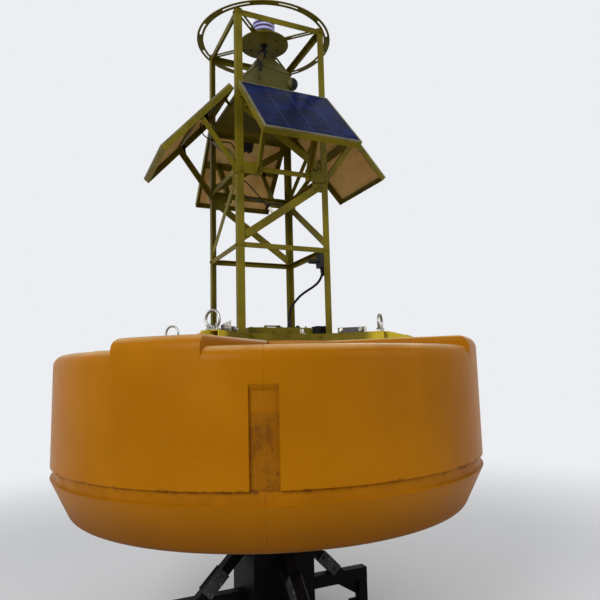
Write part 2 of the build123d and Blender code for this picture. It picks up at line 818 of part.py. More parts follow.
save("base_frame", base_frame())
save("deck_arms", deck_arms())
save("joint_plates", joint_plates())
save("hatch_plinth", hatch_plinth())
save("hatch_lid", hatch_lid())
save("hatch_hinge", hatch_hinge())
for name, azimuth, normal in lifting_ring_table:
    save(f"lifting_ring_{name}", lifting_ring(azimuth, normal))

for name, azimuth in zip("abcd", corner_azimuths):
    save(f"post_{name}", post(azimuth))
bars = []
for height in (level_1_height, level_2_height, shelf_height - bar_height / 2):
    bars += level_bars(height, bar_height)
save("level_bars", bars)
save("top_bars", level_bars(disc_top - top_bar_height / 2, top_bar_height))
save("lower_diagonals", lower_diagonals())
save("upper_diagonals", face_diagonals(level_2_height, shelf_height - bar_height / 2, -1))

save("guard_ring", guard_ring())
save("cross_bars", cross_bars())
save("lantern_disc", lantern_disc())
save("lantern_base", lantern_base())
save("lantern_lens", lantern_lens())
save("shelf", shelf())
save("instrument_box", instrument_box())
save("box_knob", corner_knob())
save("box_hood", box_hood())
save("neck", neck())

props = []
brackets = []
edges = []
laminates = []
for k, (azimuth, offset, down_slope) in enumerate(panel_prop_table):
    side = Rot(0, 0, azimuth - 270.0)
    save(f"panel_frame_{k + 1}", side * (panel_frame() + cross_member(down_slope)))
    laminates.append(side * panel_laminate())
    edges.append(side * module_edge_ring())
    props += [side * piece for piece in panel_props(offset, down_slope)]
    brackets += [side * piece for piece in panel_brackets()]
save("module_edges", edges)
save("panel_laminates", laminates)
save("panel_props", props)
save("panel_brackets", brackets)
save("junction_boxes", [Rot(0, 0, azimuth - 270.0) * junction_box_solid(offset, down_slope)
                        for azimuth, offset, down_slope in junction_box_table])

save("cable_glands", cable_glands())
save("deck_box", deck_box_solid())
save("cable_joint", cable_joint_solid())
save("cable_clips", cable_clips())
save("lead_connector", lead_connector())
save("cable_main", cord(main_cable_route(), main_cable_diameter))
save("lead_left", cord(from_level_2(left_lead_table), lead_diameter))
save("lead_front", cord(from_level_2(front_lead_table), lead_diameter))
save("lead_cross", cord(from_level_2(cross_lead_table), lead_diameter))
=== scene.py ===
import math

import bmesh
import bpy
from mathutils import Matrix, Vector


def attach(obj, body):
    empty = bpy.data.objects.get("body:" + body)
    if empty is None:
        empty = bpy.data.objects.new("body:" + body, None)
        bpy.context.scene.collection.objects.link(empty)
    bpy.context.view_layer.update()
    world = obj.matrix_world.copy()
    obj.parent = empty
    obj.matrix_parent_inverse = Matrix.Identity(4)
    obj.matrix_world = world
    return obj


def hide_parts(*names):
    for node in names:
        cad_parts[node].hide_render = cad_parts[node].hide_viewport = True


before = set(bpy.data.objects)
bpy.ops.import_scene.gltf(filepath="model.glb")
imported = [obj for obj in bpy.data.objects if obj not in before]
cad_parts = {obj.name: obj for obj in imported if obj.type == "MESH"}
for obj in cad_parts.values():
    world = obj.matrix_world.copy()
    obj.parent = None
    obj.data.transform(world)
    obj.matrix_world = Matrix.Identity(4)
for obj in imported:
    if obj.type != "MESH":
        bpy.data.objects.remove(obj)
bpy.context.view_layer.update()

# Viewpoint: a person's eye height in front of the buoy, looking slightly up at the tower. The
# values come from a camera fitted to the posts and to the float's rim.
camera_place = (-1.233, -3.161, 1.512)
camera_heading, camera_rise, camera_roll = -24.602, 7.23, -1.41
camera = bpy.data.objects.new("camera", bpy.data.cameras.new("camera"))
bpy.context.collection.objects.link(camera)
camera.data.sensor_width = 36
camera.data.lens = 33.307
camera.matrix_world = (Matrix.Translation(camera_place)
                       @ Matrix.Rotation(math.radians(camera_heading), 4, "Z")
                       @ Matrix.Rotation(math.radians(90 + camera_rise), 4, "X")
                       @ Matrix.Rotation(math.radians(camera_roll), 4, "Z"))
bpy.context.scene.camera = camera
bpy.context.scene.view_settings.view_transform = "Standard"


# Studio: a pale floor that fades into an even pale surround, a soft lamp high on the left and a
# weaker one behind. The finishes below are written as sums and products of shader values.
surround_colour_level, floor_colour_level, floor_seen_level = (236, 238, 241), (200, 198, 192), (234, 236, 239)
surround_light = 0.40
lamp_aim = Vector((0, 0, 1.9))
lamp_table = (("key_lamp", (-5.6, -3.9, 4.6), 4, 330), ("fill_lamp", (3.6, -5.6, 3.8), 5, 140),
              ("rim_lamp", (3.8, 4.6, 5.5), 4, 90))
floor_radius = 40
floor_fade = (2.6, 7)


class Shade:
    """A socket of a material; an expression on Shades adds the nodes that work it out."""

    def __init__(self, tree, socket):
        self.tree = tree
        self.socket = socket

    def node(self, kind, inputs=None, output=0, **settings):
        made = self.tree.nodes.new(kind)
        for name, value in settings.items():
            setattr(made, name, value)
        for key, value in (inputs or {}).items():
            if isinstance(value, Shade):
                self.tree.links.new(value.socket, made.inputs[key])
            else:
                made.inputs[key].default_value = value
        return Shade(self.tree, made.outputs[output])

    def math(self, operation, first, second=0):
        return self.node("ShaderNodeMath", {0: first, 1: second}, operation=operation)

    def __add__(self, other):
        return self.math("ADD", self, other)

    __radd__ = __add__

    def __sub__(self, other):
        return self.math("SUBTRACT", self, other)

    def __rsub__(self, other):
        return self.math("SUBTRACT", other, self)

    def __mul__(self, other):
        return self.math("MULTIPLY", self, other)

    __rmul__ = __mul__

    def __gt__(self, other):
        return self.math("GREATER_THAN", self, other)

    def __abs__(self):
        return self.math("ABSOLUTE", self)

    def fraction(self):
        return self.math("FRACT", self)

    def larger(self, other):
        return self.math("MAXIMUM", self, other)

    def step(self, low, high):
        """0 at low, 1 at high, smooth between."""
        return self.node("ShaderNodeMapRange", {0: self, 1: low, 2: high}, interpolation_type="SMOOTHSTEP")

    def noise(self, scale, detail=4, roughness=0.55, stretch=(1, 1, 1)):
        place = self.node("ShaderNodeMapping", {0: self, 3: stretch})
        return self.node("ShaderNodeTexNoise", {"Vector": place, "Scale": scale, "Detail": detail,
                                                "Roughness": roughness})

    def blend(self, first, second):
        """First colour where this mask is 0, second where it is 1."""
        return self.node("ShaderNodeMix", {0: self, 6: first, 7: second}, output=2, data_type="RGBA")

    def axes(self):
        split = self.node("ShaderNodeSeparateXYZ", {0: self}).socket.node
        return [Shade(self.tree, socket) for socket in split.outputs]

    def bump(self, height, distance):
        return self.node("ShaderNodeBump", {"Height": height, "Distance": distance, "Strength": 1})

    def surface_normal(self):
        return self.node("ShaderNodeNewGeometry", output=1)


def finish(name):
    """A new material: its shader, and the object's own coordinates as a Shade."""
    material = bpy.data.materials.new(name)
    material.use_nodes = True
    tree = material.node_tree
    own_place = Shade(tree, tree.nodes.new("ShaderNodeTexCoord").outputs["Object"])
    return material, tree.nodes["Principled BSDF"], own_place


def feed(shader, **sockets):
    for name, value in sockets.items():
        target = shader.inputs[name.replace("_", " ")]
        if isinstance(value, Shade):
            value.tree.links.new(value.socket, target)
        else:
            target.default_value = value


def rgb(red, green, blue):
    """A colour read off a screen, 0 to 255, as the linear values of a shader."""
    linear = []
    for level in (red, green, blue):
        share = level / 255
        linear.append(share / 12.92 if share <= 0.04045 else ((share + 0.055) / 1.055) ** 2.4)
    return (*linear, 1)


def seen_directly(tree):
    """1 for rays from the camera, off gloss and through glass, 0 for the light on the object."""
    paths = tree.nodes.new("ShaderNodeLightPath").outputs
    seen = Shade(tree, paths["Is Camera Ray"]).larger(Shade(tree, paths["Is Glossy Ray"]))
    return seen.larger(Shade(tree, paths["Is Transmission Ray"]))


surround_colour = rgb(*surround_colour_level)
floor_mesh = bmesh.new()
bmesh.ops.create_circle(floor_mesh, cap_ends=True, segments=96, radius=floor_radius)
floor = bpy.data.objects.new("studio_floor", bpy.data.meshes.new("studio_floor"))
floor_mesh.to_mesh(floor.data)
floor_mesh.free()
bpy.context.collection.objects.link(floor)
floor_finish, shader, place = finish("studio_floor")
shown_floor = seen_directly(place.tree).blend(rgb(*floor_colour_level), rgb(*floor_seen_level))
feed(shader, Base_Color=shown_floor, Roughness=0.95, Specular_IOR_Level=0)
far = place.node("ShaderNodeVectorMath", {0: place}, output=1, operation="LENGTH").step(*floor_fade)
glow = place.node("ShaderNodeEmission", {"Color": surround_colour, "Strength": 1})
mixed = place.node("ShaderNodeMixShader", {0: far * seen_directly(place.tree),
                                           1: Shade(place.tree, shader.outputs[0]), 2: glow})
place.tree.links.new(mixed.socket, place.tree.nodes["Material Output"].inputs["Surface"])
floor.data.materials.append(floor_finish)

for name, lamp_place, size, power in lamp_table:
    lamp = bpy.data.objects.new(name, bpy.data.lights.new(name, "AREA"))
    bpy.context.collection.objects.link(lamp)
    lamp.data.shape = "DISK"
    lamp.data.size = size
    lamp.data.energy = power
    aim = (lamp_aim - Vector(lamp_place)).to_track_quat("-Z", "Y")
    lamp.matrix_world = Matrix.Translation(lamp_place) @ aim.to_matrix().to_4x4()

surround = bpy.data.worlds.new("surround")
surround.use_nodes = True
bpy.context.scene.world = surround
tree = surround.node_tree
lighting = tree.nodes["Background"]
lighting.inputs["Color"].default_value = (1, 1, 1, 1)
lighting.inputs["Strength"].default_value = surround_light
seen = seen_directly(tree)
shown = seen.node("ShaderNodeBackground", {"Color": surround_colour, "Strength": 1})
mixed = seen.node("ShaderNodeMixShader", {0: seen, 1: Shade(tree, lighting.outputs[0]), 2: shown})
tree.links.new(mixed.socket, tree.nodes["World Output"].inputs["Surface"])


# Lower frame: square steel well through the float, its flange, four beams on legs with knees and
# slanting braces, welded up from hollow section under black epoxy. Dust lies on what faces up,
# and the braces are held by bolted fish plates.
side_azimuths = (270, 0, 90, 180)
fish_plate_middle = (0.350, 0.362)
fish_plate_face, fish_bolt_spacing, fish_bolt_across = 0.038, 0.050, 0.015
flange_low, flange_bolt_line, flange_bolt_across = 0.780, 0.325, 0.024
flange_bolt_places = (-0.27, -0.09, 0.09, 0.27)
# half the space between two like beads; distance from the axis and height of each end; size
frame_weld_table = ((0.030, (0.181, 0.232), (0.181, 0.300), 0.004), (0.030, (0.181, 0.500), (0.181, 0.568), 0.004),
                    (0.006, (0.408, 0.229), (0.552, 0.229), 0.004), (0.006, (0.553, 0.062), (0.553, 0.122), 0.004),
                    (0.028, (0.554, 0.013), (0.610, 0.013), 0.005))


def dress(names, material):
    for name in names:
        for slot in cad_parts[name].material_slots:
            slot.material = material


def round_to(azimuth, *point):
    """A point given over azimuth 0, taken round the buoy's axis."""
    return Matrix.Rotation(math.radians(azimuth), 4, "Z") @ Vector(point)


def shifted(seat, *move):
    """The seat moved along its own axes."""
    return seat @ Matrix.Translation(move)


def stand(place, outward, turn=0):
    """A frame at place whose own Z points outward."""
    return (Matrix.Translation(place) @ Vector(outward).to_track_quat("Z", "Y").to_matrix().to_4x4()
            @ Matrix.Rotation(math.radians(turn), 4, "Z"))


def edges_at(verts):
    return list(dict.fromkeys(edge for vert in verts for edge in vert.link_edges))


def break_edges(mesh, edges, width):
    bmesh.ops.bevel(mesh, geom=edges, offset=width, affect="EDGES", segments=2, profile=0.5, material=-1)


def add_drum(mesh, seat, radius, low, high, sides=24, edge=0, top_radius=None):
    """A round or many-sided drum along the seat's Z, with broken rims."""
    if top_radius is None:
        top_radius = radius
    made = bmesh.ops.create_cone(mesh, cap_ends=True, segments=sides, radius1=radius, radius2=top_radius,
                                 depth=high - low, matrix=shifted(seat, 0, 0, (low + high) / 2))
    if edge:
        rims = [e for e in edges_at(made["verts"]) if any(len(f.verts) == sides for f in e.link_faces)]
        break_edges(mesh, rims, edge)


def add_block(mesh, seat, size, edge):
    """A bar or plate with broken edges, centred on the seat."""
    made = bmesh.ops.create_cube(mesh, size=1, matrix=seat @ Matrix.Diagonal((*size, 1)))
    break_edges(mesh, edges_at(made["verts"]), edge)


def add_bolt(mesh, place, outward, across, end=0, turn=0):
    """A washer and a hexagon head; with end, a nut and the bolt's end through it."""
    seat = stand(place, outward, turn)
    washer = 0.12 * across
    add_drum(mesh, seat, 0.68 * across, -0.001, washer, 20, 0.03 * across)
    add_drum(mesh, seat, across / math.sqrt(3), washer, washer + 0.6 * across, 6, 0.07 * across)
    if end:
        add_drum(mesh, seat, 0.31 * across, washer, washer + 0.6 * across + end, 12, 0.05 * across)


def add_weld(mesh, start, end, size):
    """A bead of overlapping drops between two points."""
    start, end = Vector(start), Vector(end)
    count = max(2, round((end - start).length / (0.95 * size)))
    for k in range(count + 1):
        swell = size * (0.86 + 0.22 * ((k * 37) % 11) / 10)
        bmesh.ops.create_icosphere(mesh, subdivisions=1, radius=swell,
                                   matrix=Matrix.Translation(start.lerp(end, k / count)))


def add_paired_welds(mesh, azimuth, half_gap, start, end, size):
    """Two like beads, one on each side of the plane through the axis at this azimuth."""
    for side in (-half_gap, half_gap):
        first, last = (round_to(azimuth, out, side, height) for out, height in (start, end))
        add_weld(mesh, first, last, size)


def new_piece(name, mesh, material, body="root", smooth=False):
    piece = bpy.data.objects.new(name, bpy.data.meshes.new(name))
    if smooth:
        for face in mesh.faces:
            face.smooth = True
    mesh.to_mesh(piece.data)
    mesh.free()
    bpy.context.collection.objects.link(piece)
    piece.data.materials.append(material)
    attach(piece, body)
    return piece


black_epoxy, shader, place = finish("black_epoxy")
up = place.surface_normal().axes()[2]
settled = up.step(0.3, 0.95) * place.noise(14, 5).step(0.3, 0.7)
smears = place.noise(7, 6, 0.65).step(0.55, 0.75)
chips = place.noise(70, 4).step(0.68, 0.71)
dusty = 0.3 * settled + 0.05 * smears
epoxy_black, epoxy_dust, chipped_epoxy = rgb(4, 4, 5), rgb(66, 62, 58), rgb(46, 43, 39)
feed(shader, Base_Color=chips.blend(dusty.blend(epoxy_black, epoxy_dust), chipped_epoxy),
     Roughness=0.50 + 0.3 * dusty, Normal=place.bump(place.noise(240, 3) - 0.6 * chips, 0.0004),
     Specular_IOR_Level=0.06)
dress(["centre_well", "float_flange", "frame_struts"] + [f"frame_leg_{k}" for k in range(1, 5)], black_epoxy)

plate_grey, shader, place = finish("fish_plate")
wiped = place.noise(16, 5).step(0.35, 0.7)
rubbed = place.noise(38, 6, 0.7, (1, 1, 0.4)).step(0.58, 0.66)
plate_dark, plate_wiped, plate_rubbed = rgb(34, 33, 34), rgb(62, 60, 60), rgb(132, 128, 124)
feed(shader, Base_Color=(0.6 * rubbed).blend(wiped.blend(plate_dark, plate_wiped), plate_rubbed),
     Roughness=0.55 + 0.15 * wiped, Normal=place.bump(place.noise(160, 4), 0.0004), Specular_IOR_Level=0.2)
dress(["fish_plates"], plate_grey)

bolt_steel, shader, place = finish("bolt_steel")
dull = place.noise(45, 4).step(0.4, 0.7)
feed(shader, Base_Color=dull.blend(rgb(196, 192, 180), rgb(126, 116, 92)), Metallic=0.8,
     Roughness=0.34 + 0.22 * dull, Normal=place.bump(place.noise(300, 2), 0.0001))

fish_bolts = bmesh.new()
flange_bolts = bmesh.new()
frame_welds = bmesh.new()
for azimuth in side_azimuths:
    middle_x, middle_z = fish_plate_middle
    for along in (-fish_bolt_spacing, fish_bolt_spacing):
        lean = along * math.sqrt(0.5)
        for side in (-1, 1):
            spot = round_to(azimuth, middle_x + lean, side * fish_plate_face, middle_z - lean)
            add_bolt(fish_bolts, spot, round_to(azimuth, 0, side, 0), fish_bolt_across, 0.005, 300 * along)
    for across in flange_bolt_places:
        spot = round_to(azimuth, flange_bolt_line, across, flange_low)
        add_bolt(flange_bolts, spot, (0, 0, -1), flange_bolt_across, 0.008)
    for weld in frame_weld_table:
        add_paired_welds(frame_welds, azimuth, *weld)
new_piece("fish_plate_bolts", fish_bolts, plate_grey)
new_piece("float_flange_bolts", flange_bolts, plate_grey)
new_piece("lower_frame_welds", frame_welds, black_epoxy, smooth=True)


# Float: four rotationally moulded polyethylene segments, coloured right through in warm amber.
# The skin is satin with a fine orange peel and shallow waves from the mould, dusty on top, soiled
# along the band's upper lip, and scraped brown in the recessed seam strips. The pale top is partly
# dust and partly a painted sheen, and the band's groove and the lowest part are darkened as painted
# shade.
band_low, band_high, strip_high = 1.002, 1.058, 1.464
seam_turn = math.radians(22.5)
strip_half = 0.060
scrape_edge = (1.350, 1.358)

amber, shader, place = finish("amber_polyethylene")
z = place.axes()[2]
up = place.surface_normal().axes()[2]
seam_x, seam_y = place.node("ShaderNodeMapping", {0: place, 2: (0, 0, seam_turn)}).axes()[:2]
off_seam = seam_x.math("MINIMUM", abs(seam_x), abs(seam_y))
in_strip = (1 - off_seam.step(strip_half - 0.004, strip_half)) * (1 - z.step(strip_high - 0.03, strip_high))
in_strip = in_strip * z.step(band_high - 0.01, band_high)
clouds = place.noise(1.5, 3)
mottle = place.noise(9, 5)
scrape = place.noise(13, 7, 0.68, (1, 1, 0.7)).step(0.44, 0.66)
scraped = (1 - z.step(*scrape_edge)) * in_strip
pits = place.noise(46, 5, 0.7).step(0.60, 0.68)
lip = z.step(band_high - 0.022, band_high - 0.004) * (1 - z.step(band_high + 0.002, band_high + 0.010))
lip = lip * place.noise(11, 6, 0.72, (1, 1, 0.5)).step(0.50, 0.60)
groove = z.step(band_low - 0.004, band_low + 0.004) * (1 - z.step(band_high - 0.004, band_high + 0.004))
runs = place.noise(2, 6, 0.6, (5, 5, 0.3)).step(0.56, 0.74) * z.step(0.85, 1.1)
under = 1 - z.step(0.80, 1.00)
scratches = place.noise(24, 6, 0.7, (1, 1, 5)).step(0.65, 0.70)
specks = place.noise(150, 2).step(0.72, 0.77)
deep_amber, pale_amber, amber_dust_and_sheen = rgb(150, 92, 2), rgb(163, 102, 4), rgb(210, 170, 112)
scratch_amber, grime_and_shade_brown = rgb(206, 148, 62), rgb(88, 50, 14)
body = clouds.step(0.3, 0.7).blend(deep_amber, pale_amber)
# The top is paler: partly dust, partly a painted sheen.
dust_and_sheen = 0.40 + 0.40 * place.noise(2.6, 6, 0.6).step(0.36, 0.64)
body = (dust_and_sheen * up.step(0.5, 0.97) * z.step(1.36, 1.50)).blend(body, amber_dust_and_sheen)
body = (0.32 * scratches).blend(body, scratch_amber)
# The band's groove and the float's lowest part are darkened as painted shade; the runs, specks, seam strips, scrapes
# and the lip's spots are dirt and wear.
grime_and_shade = 0.12 * runs + 0.26 * groove * mottle.step(0.2, 0.7) + 0.54 * under + 0.3 * specks
grime_and_shade = grime_and_shade + 0.14 * in_strip + scraped * (0.18 + 0.40 * scrape + 0.5 * pits) + 0.6 * lip
grime_and_shade = grime_and_shade.math("MINIMUM", grime_and_shade, 0.85)
feed(shader, Base_Color=grime_and_shade.blend(body, grime_and_shade_brown), Roughness=0.30 + 0.12 * mottle + 0.3 * grime_and_shade,
     Normal=place.bump(place.noise(3.4, 2) + 0.012 * place.noise(380, 2) + 0.03 * scratches
                       + 0.05 * in_strip * scrape, 0.006), Specular_IOR_Level=0.05)
dress([f"float_segment_{k}" for k in range(1, 5)], amber)

# Sealant in the joints between the segments: a narrow amber bead in each, flush with the skin.
seam_azimuths = (67.5, 157.5, 247.5, 337.5)
edge_bend = 0.060
bead_radius, bead_depth, bead_lap = 0.0011, 0.0008, 0.0004


def edge_arc(middle, height, angles):
    """Points of a rounded edge of the float in profile, by their angle from straight up."""
    turns = [math.radians(angle) for angle in angles]
    return [(middle + edge_bend * math.sin(t), height + edge_bend * math.cos(t)) for t in turns]


# distance from the axis and height of points along a seam, from the boss over the rim and under
skin_line = [(0.480, 1.670), (0.525, 1.620), (1.140, 1.620), *edge_arc(1.140, 1.560, range(10, 100, 10)),
             (1.200, 1.464), (1.186, 1.437), (1.186, 1.008), (1.200, 1.002),
             *edge_arc(1.0578, 0.850, (117, 130, 143, 156, 168, 180)), (0.370, 0.790)]
sealant = bmesh.new()
for azimuth in seam_azimuths:
    points = [round_to(azimuth, radius - bead_depth, 0, height) for radius, height in skin_line]
    for start, following in zip(points, points[1:]):
        run = following - start
        add_drum(sealant, stand(start, run), bead_radius, -bead_lap, run.length + bead_lap, 8)
aged_sealant, shader, place = finish("aged_sealant")
grey = place.noise(20, 5).step(0.35, 0.7)
feed(shader, Base_Color=grey.blend(rgb(146, 88, 4), rgb(120, 74, 14)), Roughness=0.75 + 0.1 * grey,
     Normal=place.bump(place.noise(120, 3), 0.0002), Specular_IOR_Level=0.05)
new_piece("float_sealant", sealant, aged_sealant, smooth=True)


# Deck: a square frame of 50 mm bar over the well and four box arms that lie on the float's ribs,
# welded and painted yellow-green. Each arm carries an upright joint plate with two bolts, and
# its foot plate is bolted down into the float.
deck_top, rib_top = 1.720, 1.670
deck_half, foot_plate_top = 0.286, 1.676
corner_azimuths = (225, 315, 45, 135)
joint_plate_side, joint_bolt_height, joint_bolt_across = 0.004, deck_top + 0.018, 0.019
joint_bolt_radii, foot_bolt_radii = (0.460, 0.575), (0.770, 0.845)
foot_bolt_side, foot_bolt_across = 0.040, 0.017
side_bolt_places, side_bolt_level, side_bolt_across = (-0.21, 0, 0.21), deck_top - 0.014, 0.013
# half the space between two like beads; distance from the axis and height of each end; size
deck_weld_table = ((0.0045, (0.441, deck_top), (0.599, deck_top), 0.0028),
                   (0.0045, (0.722, foot_plate_top), (0.868, foot_plate_top), 0.003),
                   (0.050, (0.362, rib_top + 0.001), (0.362, deck_top), 0.003))

# The arms' ends are painted a lighter yellow as painted sunlight, and the paint is greyer on the
# instrument box and its hood.
tower_paint, shader, place = finish("tower_paint")
patches = place.noise(5, 4)
brushed = place.noise(60, 4, 0.6, (1, 1, 0.12))
worn = place.noise(34, 6, 0.7).step(0.60, 0.70)
rusty = place.noise(21, 6, 0.7).step(0.67, 0.73)
dark_olive, light_olive, worn_olive = rgb(82, 73, 8), rgb(106, 95, 14), rgb(140, 130, 62)
sunlit_yellow, grey_olive, rust = rgb(206, 184, 50), rgb(72, 70, 38), rgb(84, 52, 22)
paint = patches.step(0.32, 0.68).blend(dark_olive, light_olive)
paint = (0.26 * worn + 0.12 * brushed).blend(paint, worn_olive)
x, y, z = place.axes()
reach = (x * x + y * y).math("SQRT", x * x + y * y)
# Painted sunlight: the arms' ends are painted a lighter yellow.
painted_sunlight_on_ends = reach.step(0.60, 0.68) * (1 - z.step(1.74, 1.80))
paint = (0.78 * painted_sunlight_on_ends).blend(paint, sunlit_yellow)
boxed = (1 - reach.step(0.185, 0.195)) * z.step(3.04, 3.06) * (1 - z.step(3.57, 3.59))
paint = (0.8 * boxed).blend(paint, grey_olive)
feed(shader, Base_Color=(0.5 * rusty).blend(paint, rust),
     Roughness=0.42 + 0.16 * brushed + 0.2 * rusty,
     Normal=place.bump(brushed + 0.5 * place.noise(300, 2) - 0.7 * worn, 0.0003), Specular_IOR_Level=0.07)
dress(["base_frame", "deck_arms"], tower_paint)

bright_steel, shader, place = finish("bright_steel")
brush = place.noise(300, 2, 0.5, (1, 1, 6))
stain = place.noise(30, 5).step(0.52, 0.75)
feed(shader, Base_Color=(0.6 * stain).blend(rgb(158, 156, 152), rgb(92, 82, 66)), Metallic=1,
     Roughness=0.22 + 0.12 * brush + 0.25 * stain, Normal=place.bump(brush, 0.0001))

dark_steel, shader, place = finish("dark_steel")
oil = place.noise(26, 5).step(0.35, 0.7)
feed(shader, Base_Color=oil.blend(rgb(44, 40, 42), rgb(74, 70, 72)), Metallic=0.5, Roughness=0.42 + 0.2 * oil,
     Normal=place.bump(place.noise(200, 3), 0.0002))
dress(["joint_plates"], dark_steel)

joint_bolts = bmesh.new()
deck_bolts = bmesh.new()
deck_welds = bmesh.new()
for azimuth in corner_azimuths:
    for radius in joint_bolt_radii:
        for side in (-1, 1):
            spot = round_to(azimuth, radius, side * joint_plate_side, joint_bolt_height)
            add_bolt(joint_bolts, spot, round_to(azimuth, 0, side, 0), joint_bolt_across, 0.005, 11)
    for radius in foot_bolt_radii:
        for side in (-foot_bolt_side, foot_bolt_side):
            spot = round_to(azimuth, radius, side, foot_plate_top)
            add_bolt(deck_bolts, spot, (0, 0, 1), foot_bolt_across, 0.005, azimuth)
    for weld in deck_weld_table:
        add_paired_welds(deck_welds, azimuth, *weld)
for azimuth in side_azimuths:
    for along in side_bolt_places:
        spot = round_to(azimuth, deck_half, along, side_bolt_level)
        add_bolt(deck_bolts, spot, round_to(azimuth, 1, 0, 0), side_bolt_across)
new_piece("joint_bolts", joint_bolts, bolt_steel)
new_piece("deck_bolts", deck_bolts, tower_paint)
new_piece("deck_welds", deck_welds, tower_paint, smooth=True)

# Lug across the front left arm and stop across the front right arm: cut from plate, galvanised
# and pale, and welded to the arms' tops.
lug_radius, lug_thickness = 0.543, 0.006
stop_radius, stop_size = 0.603, (0.010, 0.016, 0.034)


def point_outwards(mesh):
    bmesh.ops.recalc_face_normals(mesh, faces=mesh.faces[:])


def seat_round(azimuth, *place):
    """A frame at a point given over azimuth 0, taken round the buoy's axis and turned with it."""
    return Matrix.Rotation(math.radians(azimuth), 4, "Z") @ Matrix.Translation(place)


arm_lugs = bmesh.new()
lug_outline = ((-0.026, 0), (0.026, 0), (0.026, 0.060), (-0.024, 0.042), (-0.026, 0.030))
corners = [arm_lugs.verts.new(round_to(225, lug_radius, side, deck_top + rise)) for side, rise in lug_outline]
arm_lugs.faces.new(corners)
bmesh.ops.solidify(arm_lugs, geom=arm_lugs.faces[:], thickness=lug_thickness)
point_outwards(arm_lugs)
add_block(arm_lugs, seat_round(315, stop_radius, 0, deck_top + stop_size[2] / 2), stop_size, 0.0015)
galvanised, shader, place = finish("galvanised_plate")
spangle = place.node("ShaderNodeTexVoronoi", {"Vector": place, "Scale": 160}, output=1).axes()[0]
mottled = 0.5 * spangle + 0.4 * place.noise(20, 5)
feed(shader, Base_Color=mottled.blend(rgb(216, 212, 200), rgb(176, 170, 154)),
     Metallic=0.3, Roughness=0.42 + 0.2 * spangle, Normal=place.bump(place.noise(220, 3), 0.0002))
new_piece("arm_lugs", arm_lugs, galvanised)


# Lifting rings: stainless bar bent and welded to a ring on a saddle, one on each arm. Two
# U-bolts and a bolted cap hold the ring's foot down on the saddle.
ring_radius, ring_middle, ring_bend = 0.690, 0.053, 0.046
saddle_top, cap_bolt_spacing = 0.012, 0.029
u_bolt_bend, u_bolt_rod, u_bolt_spacing = 0.0118, 0.0042, 0.015
# name, azimuth on the deck, azimuth that the ring's hole faces
ring_table = (("a", 225, 211), ("b", 315, 315), ("c", 45, 335), ("d", 135, 225))

dress([f"lifting_ring_{name}" for name in "abcd"], bright_steel)
for name, azimuth, facing in ring_table:
    u_bolts = bmesh.new()
    foot = (Matrix.Translation(round_to(azimuth, ring_radius, 0, deck_top))
            @ Matrix.Rotation(math.radians(facing), 4, "Z"))
    for along in (-u_bolt_spacing, u_bolt_spacing):
        ring_low = ring_middle - math.sqrt(ring_bend ** 2 - along ** 2)
        bend = shifted(foot, 0, along, ring_low)
        rod = bmesh.ops.create_circle(u_bolts, segments=10, radius=u_bolt_rod,
                                      matrix=shifted(bend, u_bolt_bend, 0, 0))["verts"]
        bmesh.ops.spin(u_bolts, geom=rod + edges_at(rod), cent=bend.to_translation(),
                       axis=bend.to_3x3() @ Vector((0, 1, 0)), angle=-math.pi, steps=12)
        for side in (-u_bolt_bend, u_bolt_bend):
            leg = shifted(foot, side, along, 0)
            add_drum(u_bolts, leg, u_bolt_rod, 0.001, ring_low, 10)
            add_drum(u_bolts, leg, 0.0085, saddle_top, saddle_top + 0.0065, 6, 0.0008)
    add_block(u_bolts, shifted(foot, 0, 0, 0.0175), (0.034, 0.018, 0.011), 0.0025)
    for along in (-cap_bolt_spacing, cap_bolt_spacing):
        clamp = shifted(foot, 0, along, 0)
        add_block(u_bolts, shifted(clamp, 0, 0, 0.005), (0.026, 0.016, 0.010), 0.0020)
        add_drum(u_bolts, clamp, 0.0072, 0.009, 0.036, 16, 0.0015)
        add_drum(u_bolts, clamp, 0.0105, 0.016, 0.026, 6, 0.0012)
    point_outwards(u_bolts)
    new_piece(f"ring_{name}_u_bolts", u_bolts, bright_steel)


# Hatch over the well: a low plinth with sloped shoulders, and a round steel lid on a rubber seal
# that swings up on two pinned hinges. The lid has a welded handle and a ring of bolts, the plinth
# is held by clamps at its foot, and two painted plugs close unused cable holes.
plinth_top, plinth_half = 1.762, 0.200
hatch_middle_y, hatch_radius, hatch_top = 0.045, 0.130, 1.770
lid_bolt_circle, lid_bolt_azimuths = 0.116, (20, 55, 125, 160, 200, 235, 305, 340)
fixing_spread, fixing_across = 0.170, 0.013
plug_spacing, plug_height = 0.052, deck_top + 0.020
# side's azimuth, distance from its middle
clamp_table = ((270, 0.128), (0, 0), (90, -0.1), (90, 0.1), (180, 0))

dress(["hatch_plinth", "hatch_lid"], tower_paint)
dress(["hatch_hinge"], bright_steel)

black_plastic, shader, place = finish("black_plastic")
grain = place.noise(520, 2)
greyed = place.noise(24, 5).step(0.5, 0.8)
feed(shader, Base_Color=(0.35 * greyed).blend(rgb(13, 12, 10), rgb(46, 42, 36)), Roughness=0.5 + 0.15 * grain,
     Normal=place.bump(grain, 0.0002), Specular_IOR_Level=0.2)

lid_bolts = bmesh.new()
for azimuth in lid_bolt_azimuths:
    spot = Vector((0, hatch_middle_y, hatch_top)) + round_to(azimuth, lid_bolt_circle, 0, 0)
    add_bolt(lid_bolts, spot, (0, 0, 1), fixing_across, 0, azimuth)
new_piece("hatch_lid_bolts", lid_bolts, bolt_steel, body="hatch")

lid_seal = bmesh.new()
seal_spot = Matrix.Translation((0, hatch_middle_y, plinth_top))
rim = bmesh.ops.create_circle(lid_seal, segments=8, radius=0.0022,
                              matrix=shifted(seal_spot, hatch_radius + 0.0015, 0, 0.002)
                              @ Matrix.Rotation(math.radians(90), 4, "X"))["verts"]
bmesh.ops.spin(lid_seal, geom=rim + edges_at(rim), cent=seal_spot.to_translation(),
               axis=(0, 0, 1), angle=math.tau, steps=72, use_merge=True)
point_outwards(lid_seal)
new_piece("hatch_seal", lid_seal, black_plastic, smooth=True)

